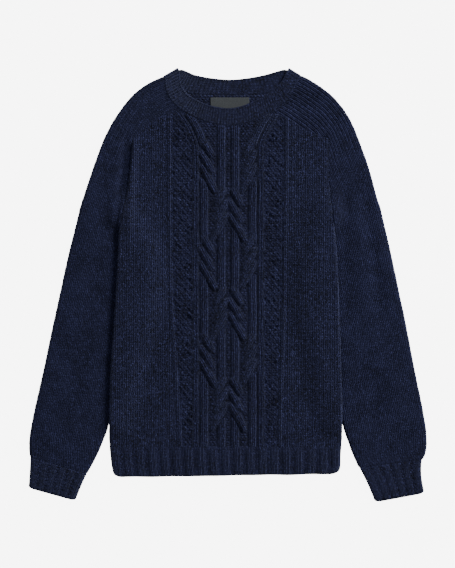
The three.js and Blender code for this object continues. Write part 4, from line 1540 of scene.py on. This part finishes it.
@dataclass
class Sleeve:
    """One sleeve, with its saddle up to the neck.

    Attributes:
        side: Which side it is on.
        finish: Its wool.
        cut: Width and length of the cut, in metres, and its area; not used.
        creases: Soft ridges and troughs of its upper side.
        spacing: Distance between rows of the grid.
        columns: Number of columns on the flat of each layer.
        thin: How many steps of the fine grid make one of the inner grid.
        wale_depth: Depth of the lines between wales on the shoulder.
        fullness: How far the wool stands out at the sides.
        shoulder_length: Distance from the neck where those lines begin to fade.
    """

    side: Side
    finish: Wool
    cut: tuple[float, float, float]
    creases: tuple[Crease, ...]
    spacing: float = 2.0
    columns: int = 84
    thin: int = 4
    wale_depth: float = 1.3
    fullness: float = 0.9
    shoulder_length: float = 90.0

    def build(self) -> bpy.types.Object:
        """Make and dress the sleeve.

        Returns:
            The piece.
        """
        form = SleeveForm(self.side)
        last = SADDLE_SECTIONS + len(ARMHOLES[self.side]) + len(TUBES[self.side]) - 1
        stations = even_stations(form, 0, last, self.spacing)
        sheet = form.sheet(stations, self.columns)
        sheet.points[0] += np.array([CLOTH.half_gap * self.side.outward, -CLOTH.half_gap, 0.0])
        x, y = sheet.points[..., 0], sheet.points[..., 1]
        upper = np.clip(sheet.normals[..., 2], 0, 1) ** 4
        down = -sheet.knit[..., 1] * CLOTH.course
        around = sheet.knit[..., 0] * CLOTH.wale
        to_edge = np.minimum(down, down[-1:] - down)
        to_seam = np.minimum(around - around[:, :1], around[:, -1:] - around)
        faded = 0.9 * smooth((down - self.shoulder_length) / 110)
        ridges = wale_rise(around, self.wale_depth) * (1 - faded)
        ridges = ridges + self.fullness * (1 - np.abs(sheet.normals[..., 2])) + 0.22 * wander(x, y, 52, 9)
        for crease in self.creases:
            sheet.points[..., 2] += crease.rise(x, y) * upper * smooth(to_edge / 12) * smooth(to_seam / 6)
        open_seam = smooth((y - UNDERARM_Y) / (ROLL_START_Y - UNDERARM_Y))
        rise = rim(to_edge) + rim(to_seam, 0.9, 2.8) * open_seam + ridges * smooth(to_edge / 4)
        slab = Slab(sheet, rise, np.zeros_like(rise), rim(to_edge, 0.9, 2.2), self.thin)
        piece = slab.build(f"knit_sleeve_{self.side.value}")
        dress(piece, self.finish.build(), "knit", f"sleeve_{self.side.value}")
        return piece


def even_stations(form: SleeveForm, first: int, last: int, spacing: float) -> Array:
    """Section numbers that lie evenly down a sleeve, closer at both ends.

    Args:
        form: The sleeve.
        first: First section of the tables.
        last: Last section of the tables.
        spacing: Distance between sections, in millimetres.

    Returns:
        The numbers, which need not be whole.
    """
    keys = form.key_rows()
    numbers = np.linspace(first, last, 40 * (last - first) + 1)
    sections = np.arange(len(keys["bend"]), dtype=float)
    centre = spline(sections, (keys["middle"] + keys["front"]) / 2, numbers)
    passed = np.concatenate([[0.0], np.linalg.norm(np.diff(centre, axis=0), axis=1).cumsum()])
    return np.interp(with_rims(0, passed[-1], spacing), passed, numbers)


# Wales in one repeat of a rib, two knit and two purl
RIB_WALES = 4


def rib_section(share: Array, hollow: float = 0.5) -> Array:
    """Section of a rib of two knit and two purl wales.

    Args:
        share: Position, with one repeat for each whole number.
        hollow: Depth of the line between the two knit wales.

    Returns:
        Height from 0 in the purl wales to about 1 on the knit ones.
    """
    within = np.mod(share, 1.0)
    ridge = np.clip(1 - (np.abs(within - 0.5) / 0.34) ** 3, 0, 1)
    groove = hollow * np.exp(-(((within - 0.5) / 0.06) ** 2))
    return ridge - groove * (ridge > 0)


@dataclass
class Cuff:
    """The ribbed cuff of one sleeve.

    Attributes:
        side: Which side it is on.
        finish: Its wool.
        cut: Width and length of the cut, in metres; not used.
        ribs: Number of ribs on each layer.
        rib_height: Height of a rib.
        corner: Radius of the corners of the laid edge.
        longer: How much the edge reaches past the tables.
        spacing: Distance between rows of the grid.
        columns: Number of columns on the flat of each layer.
    """

    side: Side
    finish: Wool
    cut: tuple[float, float]
    ribs: int = 6
    rib_height: float = 1.5
    corner: float = 9.0
    longer: float = 1.8
    spacing: float = 1.4
    columns: int = 75

    def build(self) -> bpy.types.Object:
        """Make and dress the cuff.

        Returns:
            The piece.
        """
        form = SleeveForm(self.side)
        first = SADDLE_SECTIONS + len(ARMHOLES[self.side]) + len(TUBES[self.side]) - 1
        stations = even_stations(form, first, first + len(CUFFS[self.side]) - 1, self.spacing)
        sheet = form.sheet(stations, self.columns)
        axis = sheet.points[1] - sheet.points[0]
        sheet.points[0] += axis / np.linalg.norm(axis, axis=-1, keepdims=True) * 2 * CLOTH.half_gap
        down = -sheet.knit[..., 1] * CLOTH.course
        around = sheet.knit[..., 0] * CLOTH.wale
        width = around[:, -1:] - around[:, :1]
        share = (around - around[:, :1]) / width
        to_edge = np.minimum(down, down[-1:] - down)
        to_seam = np.minimum(around - around[:, :1], around[:, -1:] - around)
        ribs = rib_section(share * self.ribs * 2)
        to_fold = np.clip(np.minimum(np.abs(around), to_seam) / self.corner, 0, 1)
        pull = 0.5 * self.corner * (1 - np.sqrt(1 - (1 - to_fold) ** 2)) * (down / down[-1:]) ** 2
        course = sheet.points[-1:] - sheet.points[1:2]
        course = course / np.linalg.norm(course, axis=-1, keepdims=True)
        sheet.points[1:] -= course * pull[1:, :, None]
        sheet.points[1:] += course * (self.longer * (down / down[-1:]) ** 2)[1:, :, None]
        sheet.knit[..., 0] = share * self.ribs * 2 * RIB_WALES
        upper = smooth((sheet.points[..., 2] - CLOTH.fold_radius - 0.5) / 3)
        rise = (ribs - 1) * 0.9 + upper * 0.9 * self.rib_height * 0.6
        rise = rise * (0.35 + 0.65 * smooth(to_edge / 3)) + rim(to_edge, 0.8)
        rise = rise + 0.9 * (1 - np.abs(sheet.normals[..., 2]))
        purl = 1 - smooth(ribs / 0.4)
        piece = Slab(sheet, rise, purl, np.zeros_like(rise), 3).build(f"knit_cuff_{self.side.value}")
        dress(piece, self.finish.build(), "rib", f"cuff_rib_{self.side.value}")
        return piece


@dataclass
class Hem:
    """The ribbed hem of the front or the back.

    Attributes:
        layer: Which layer it is.
        finish: Its wool.
        cut: Width and length of the cut, in metres; not used.
        ribs: Number of ribs.
        rib_height: Height of a rib.
        edge_left: Y of the free edge at the left corner.
        edge_right: Y of the free edge at the right corner.
        corner: Radius of the corners.
        usual_length: Length that the rows are counted for.
        row_spacing: Distance between rows of the grid.
        column_spacing: Distance between columns of the grid.
    """

    layer: Layer
    finish: Wool
    cut: tuple[float, float]
    ribs: int = 19
    rib_height: float = 1.9
    edge_left: float = -319.5
    edge_right: float = -313.0
    corner: float = 13.0
    usual_length: float = 46.0
    row_spacing: float = 1.4
    column_spacing: float = 1.3

    def levels(self, x: Array) -> Array:
        """Lay the rows, from the hem seam to the free edge.

        Args:
            x: X of each column.

        Returns:
            Y of each row and column.
        """
        top = HEM_SEAM_Y - CLOTH.half_gap
        _, left, right = BODY_SIDES[0]
        share_x = (x - left) / (right - left)
        bottom = self.edge_left + (self.edge_right - self.edge_left) * share_x
        bottom = bottom + 0.7 * wander(x, x * 0, 31, 60)
        corner = np.clip(np.minimum(np.abs(x - x[0]), np.abs(x[-1] - x)) / self.corner, 0, 1)
        bottom = bottom + 0.6 * self.corner * (1 - np.sqrt(np.clip(1 - (1 - corner) ** 2, 0, 1)))
        share = with_rims(0, self.usual_length, self.row_spacing) / self.usual_length
        return top + (bottom - top)[None, :] * share[:, None]

    def build(self) -> bpy.types.Object:
        """Make and dress the hem.

        Returns:
            The piece.
        """
        form = BodyForm()
        sheet = form.sheet(self.layer, self.column_spacing, self.levels)
        y = sheet.points[..., 1]
        wales = sheet.knit[..., 0] * CLOTH.wale
        width = wales[:, -1:] - wales[:, :1]
        share = (wales - wales[:, :1]) / width
        ribs = rib_section(share * self.ribs)
        sheet.knit[..., 0] = share * self.ribs * RIB_WALES
        rise = (ribs - 1) * 0.5 if self.layer is Layer.BACK else ribs * self.rib_height - 0.2
        rise = rise * (0.2 + 0.8 * smooth((y[:1] - y) / 10)) * (0.4 + 0.6 * smooth((y - y[-1:]) / 3))
        rise = rise + rim(y - y[-1:], 0.8) + rim(y[:1] - y, 0.3)
        rise = rise + 0.8 * (1 - np.abs(sheet.normals[..., 2]))
        purl = 0.6 * (1 - smooth(ribs / 0.4))
        piece = Slab(sheet, rise, purl, np.zeros_like(rise), 3).build(f"knit_hem_{self.layer.value}")
        dress(piece, self.finish.build(), "rib", f"hem_rib_{self.layer.value}")
        return piece


@dataclass
class Neckband:
    """The ribbed ring round the neck.

    Attributes:
        finish: Its wool.
        cut: Width and length of the cut, in metres; not used.
        front_ribs: Number of ribs on the upper layer.
        back_ribs: Number of ribs on the lower layer.
        rib_height: Height of a rib.
        tip_reach: Distance from a tip within which the edge is drawn in.
        tip_pull: How far the tip itself is drawn in.
        depth: Depth of the band.
        spacing: Distance between rows of the grid.
        front_columns: Columns of the grid on the upper layer.
        back_columns: Columns of the grid on the lower layer.
    """

    finish: Wool
    cut: tuple[float, float]
    front_ribs: int = 58
    back_ribs: int = 48
    rib_height: float = 0.5
    tip_reach: float = 9.0
    tip_pull: float = 1.4
    depth: float = 28.5
    spacing: float = 1.4
    front_columns: int = 400
    back_columns: int = 330

    def ring(self) -> tuple[Sheet, Array, Array]:
        """Lay the ring's grid from the free edge to the seam.

        Returns:
            The grid, and for each column its rib phase and whether it is on the back.
        """
        level = with_rims(0, self.depth, self.spacing) / self.depth
        counts = {Layer.FRONT: self.front_columns, Layer.BACK: self.back_columns}
        turns = np.linspace(0, math.pi, FOLD_STEPS + 1)[1:-1]
        points, normals, phases, backs = [], [], [], []

        def add_layer(layer: Layer, order: int) -> None:
            """Lay the flat columns of one layer.

            Args:
                layer: Which layer.
                order: 1 from left to right, and -1 the other way.
            """
            shares = np.linspace(0, 1, counts[layer])[::order]
            table = BANDS[layer]
            rows = spline(np.arange(len(table), dtype=float), table, shares * (len(table) - 1))
            seam, free = rows[:, :2], rows[:, 2:]
            flat = free[None] + (seam - free)[None] * level[:, None, None]
            mid = CLOTH.front_mid if layer is Layer.FRONT else CLOTH.back_mid
            z = np.full((*flat.shape[:2], 1), mid)
            points.append(np.concatenate([flat, z], axis=-1))
            normals.append(np.broadcast_to(np.array([0.0, 0.0, layer.up]), points[-1].shape))
            phases.append(shares * (self.front_ribs if layer is Layer.FRONT else self.back_ribs))
            backs.append(np.full(len(shares), float(layer is Layer.BACK)))

        def add_fold(side: Side, angles: Array) -> None:
            """Lay the columns round one fold.

            Args:
                side: Which fold.
                angles: Turn of each column, from 0 on the upper layer to a half turn.
            """
            seam_x, seam_y, free_x, free_y = BANDS[Layer.FRONT][0 if side is Side.LEFT else -1]
            out_x, out_y = band_outward(side)
            across = np.array([seam_x - free_x, seam_y - free_y])
            middle = np.array([free_x, free_y]) + across * level[:, None]
            facing = np.stack([out_x * np.sin(angles), out_y * np.sin(angles), np.cos(angles)], axis=-1)
            height = np.full((len(level), 1), CLOTH.back_mid + CLOTH.fold_radius)
            centre = np.concatenate([middle, height], axis=1)
            points.append(centre[:, None] + facing[None] * CLOTH.fold_radius)
            normals.append(np.broadcast_to(facing[None], points[-1].shape))
            phases.append(np.full(len(angles), 0.5))
            backs.append(smooth(angles / math.pi))

        add_layer(Layer.FRONT, 1)
        add_fold(Side.RIGHT, turns)
        add_layer(Layer.BACK, -1)
        add_fold(Side.LEFT, turns[::-1])
        place = np.concatenate(points, axis=1)
        step = np.linalg.norm(np.diff(place, axis=1), axis=-1)
        around = np.concatenate([np.zeros((len(level), 1)), step.cumsum(axis=1)], axis=1).mean(axis=0)
        self.round_corners(place, level)
        down = np.broadcast_to(-level[:, None] * self.depth, place.shape[:2])
        phase, back = np.concatenate(phases), np.concatenate(backs)
        on_fold = (np.diff(phase, append=phase[0]) == 0) | (phase == 0.5)
        wales = np.where(on_fold, around / 5.0, phase * 2 + 0.5)
        knit = np.stack([np.broadcast_to(wales, place.shape[:2]), down / CLOTH.course], axis=-1)
        return Sheet(place, np.concatenate(normals, axis=1), knit), phase, back

    def round_corners(self, place: Array, level: Array) -> None:
        """Draw the free edge in where the neckband folds over, so that both tips are round.

        Args:
            place: The ring's points, which are moved.
            level: Share of the way from the free edge to the seam, for each row.
        """
        across = place[-1] - place[0]
        across = across / np.linalg.norm(across, axis=-1, keepdims=True)
        for side in (0, -1):
            tip = BANDS[Layer.FRONT][side, 2:]
            gap = np.linalg.norm(place[0, :, :2] - tip, axis=-1)
            near = np.clip(1 - gap / self.tip_reach, 0, 1) ** 2
            pull = self.tip_pull * near[None, :] * (1 - level[:, None]) ** 3
            place += across[None] * pull[..., None]

    def build(self) -> bpy.types.Object:
        """Make and dress the neckband.

        Returns:
            The piece.
        """
        sheet, phase, back = self.ring()
        down = -sheet.knit[..., 1] * CLOTH.course
        to_edge = np.minimum(down, down[-1:] - down)
        ribs = np.broadcast_to(rib_section(phase, 0.0), down.shape)
        fade = smooth(to_edge / 2.5)
        bead = 0.8 * np.exp(-(((down - 1.7) / 1.3) ** 2))
        raised = ribs * self.rib_height * (1 - back) + (ribs - 1) * 0.5 * back
        outer = raised * fade + bead * (1 - back) + rim(to_edge)
        inner = ribs * self.rib_height * back * fade + bead * back + rim(to_edge, 0.9, 2.0)
        purl = (1 - smooth(ribs / 0.4)) * (1 - back)
        piece = Slab(sheet, outer, purl, inner, 1, ring=True, inner_purl=0.0).build("knit_neckband")
        dress(piece, self.finish.build(), "rib", "neckband")
        return piece


@dataclass
class Label:
    """The bare woven label inside the back of the neck.

    Attributes:
        finish: Its tape.
        left: X of its left edge.
        right: X of its right edge.
        bottom: Y of its lower edge.
        top: Y of its upper edge.
        base_z: Height of its underside.
        thickness: Thickness of the tape.
        columns: Columns of its grid.
        rows: Rows of its grid.
    """

    finish: Tape
    left: float = -29.5
    right: float = 34.5
    bottom: float = 283.0
    top: float = 307.5
    base_z: float = 3.35
    thickness: float = 0.55
    columns: int = 60
    rows: int = 24

    def build(self) -> bpy.types.Object:
        """Make and dress the label.

        Returns:
            The piece.
        """
        across = np.linspace(self.left, self.right, self.columns)
        x, y = np.meshgrid(across, np.linspace(self.bottom, self.top, self.rows))
        wave = 0.12 * wander(x, y, 41, 25) + 0.12
        upper = np.stack([x, y, self.base_z + self.thickness + wave], axis=-1)
        lower = np.stack([x, y, self.base_z + wave], axis=-1)
        count = x.size
        fine = np.arange(count).reshape(x.shape)
        faces = Slab.quads(fine, False) + Slab.quads(fine + count, True)
        edges = ((fine[0], False), (fine[-1], True), (fine[:, 0], True), (fine[:, -1], False))
        for edge, back in edges:
            faces += Slab.wall(edge, edge + count, np.arange(len(edge)), back)
        vertices = np.concatenate([upper.reshape(-1, 3), lower.reshape(-1, 3)]) * MM
        knit = np.tile(np.stack([x.ravel(), y.ravel()], axis=-1), (2, 1))
        piece = mesh_piece("woven_label", vertices, faces, knit, np.zeros(2 * count))
        dress(piece, self.finish.build(), "label", "neck_label")
        return piece


@dataclass
class Studio:
    """Backdrop, lights and camera of the photograph.

    Attributes:
        width_px: Width of the photograph.
        mm_per_px: Size of one of its pixels on the sweater.
        centre_x: X of its middle, in millimetres.
        distance: Height of the camera, in metres.
        floor_reach: Half of the floor's side, in metres.
        floor_z: Height of the floor, in metres, just under the wool.
        floor_shade: Glow of the backdrop where the camera sees it.
        floor_glow: Glow that it gives to the sweater.
    """

    width_px: int = 455
    mm_per_px: float = 1.65
    centre_x: float = -1.24
    distance: float = 6.0
    floor_reach: float = 6.0
    floor_z: float = -0.0004
    floor_shade: float = 7.2
    floor_glow: float = 0.9

    def light(self, name: str, place: tuple[float, float, float], size: float, power: float) -> None:
        """Add an area light that looks at the middle of the sweater.

        Args:
            name: Name of the light.
            place: Its position in metres.
            size: Side of its square, in metres.
            power: Its power in watts.
        """
        data = bpy.data.lights.new(name, "AREA")
        data.shape = "SQUARE"
        data.size = size
        data.energy = power
        lamp = bpy.data.objects.new(name, data)
        lamp.location = place
        toward = np.array(place) / np.linalg.norm(place)
        lamp.rotation_euler = (math.acos(toward[2]), 0, math.atan2(toward[1], toward[0]) + math.pi / 2)
        bpy.context.scene.collection.objects.link(lamp)

    def build(self) -> None:
        """Make the floor, the lights, the room and the camera."""
        self.lay_floor()
        self.light("key_light", (4.1, 4.0, 2.9), 2.0, 450.0)
        self.light("fill_light", (-1.8, -0.4, 2.2), 2.4, 8.0)
        self.light_room()
        self.hang_camera()

    def lay_floor(self) -> None:
        """Make the backdrop, which is bright for the camera and dim for the wool's folds."""
        mesh = bpy.data.meshes.new("floor")
        reach = self.floor_reach
        corners = ((-reach, -reach), (reach, -reach), (reach, reach), (-reach, reach))
        mesh.from_pydata([(x, y, self.floor_z) for x, y in corners], [], [(0, 1, 2, 3)])
        floor = bpy.data.objects.new("floor", mesh)
        bpy.context.scene.collection.objects.link(floor)
        material = bpy.data.materials.new("Backdrop")
        material.use_nodes = True
        graph = Graph(material.node_tree)
        seen = graph.add("ShaderNodeLightPath").outputs["Is Camera Ray"]
        extra = graph.math("MULTIPLY", seen, self.floor_shade - self.floor_glow)
        glow = graph.math("ADD", extra, self.floor_glow)
        shader = graph.add("ShaderNodeBsdfPrincipled", {
            "Base Color": (0.30, 0.30, 0.30, 1), "Roughness": 0.9, "Specular IOR Level": 0.1,
            "Emission Color": (1, 1, 1, 1), "Emission Strength": glow,
        })
        graph.add("ShaderNodeOutputMaterial", {"Surface": shader.outputs[0]})
        mesh.materials.append(material)

    def light_room(self) -> None:
        """Give the room its soft light from all sides."""
        world = bpy.data.worlds.new("Room")
        world.use_nodes = True
        sky = Graph(world.node_tree)
        backdrop = sky.add("ShaderNodeBackground", {"Color": (0.94, 0.96, 1.0, 1), "Strength": 0.18})
        sky.add("ShaderNodeOutputWorld", {"Surface": backdrop.outputs[0]})
        bpy.context.scene.world = world

    def hang_camera(self) -> None:
        """Place the camera straight above, with the photograph's width in view."""
        scene = bpy.context.scene
        data = bpy.data.cameras.new("camera")
        data.sensor_fit = "HORIZONTAL"
        data.sensor_width = 36.0
        width = self.width_px * self.mm_per_px * MM
        data.lens = data.sensor_width * self.distance / width
        data.dof.use_dof = False
        camera = bpy.data.objects.new("camera", data)
        camera.location = (self.centre_x * MM, 0, self.distance)
        scene.collection.objects.link(camera)
        scene.camera = camera


def main() -> None:
    """Build the sweater and its studio."""
    logging.basicConfig(level=logging.INFO, format="%(name)s: %(message)s")
    knit = Wool("Navy knit")
    # The sleeves are the same yarn as the body; their darker base colour is painted shade.
    sleeve_base_with_painted_shade = (0.0094, 0.0117, 0.0404, 1.0)
    sleeve_knit = Wool("Navy knit of the sleeves", sleeve_base_with_painted_shade, flecks=0.42, groove_shade=0.6, depth=0.0012)
    band = Wool("Navy knit of the neckband", purl_shade=0.12)
    rib = Wool("Navy rib", purl_shade=0.45, flecks=0.7)
    cuff_rib = Wool("Navy rib of the cuffs", purl_shade=0.30, flecks=0.8)
    pieces = [
        Panel(Layer.FRONT, knit, (0.384, 0.552, 0.192), FRONT_CREASES),
        Panel(Layer.BACK, knit, (0.385, 0.585, 0.205), BACK_CREASES, spacing=3.0, thin=4),
        Sleeve(Side.LEFT, sleeve_knit, (0.267, 0.690, 0.122), SLEEVE_CREASES[Side.LEFT]),
        Sleeve(Side.RIGHT, sleeve_knit, (0.278, 0.690, 0.130), SLEEVE_CREASES[Side.RIGHT], fullness=1.9),
        Neckband(band, (0.545, 0.029)),
        Hem(Layer.FRONT, rib, (0.380, 0.0475)),
        Hem(Layer.BACK, rib, (0.380, 0.0475)),
        Cuff(Side.LEFT, cuff_rib, (0.180, 0.050)),
        Cuff(Side.RIGHT, cuff_rib, (0.185, 0.059)),
        Label(Tape()),
    ]
    for part in pieces:
        piece = part.build()
        triangles = sum(len(face.vertices) - 2 for face in piece.data.polygons)
        area = sum(face.area for face in piece.data.polygons) / 2
        LOG.info("%s: %d triangles, %.4f square metres", piece.name, triangles, area)
    Studio().build()


if __name__ == "__main__":
    main()
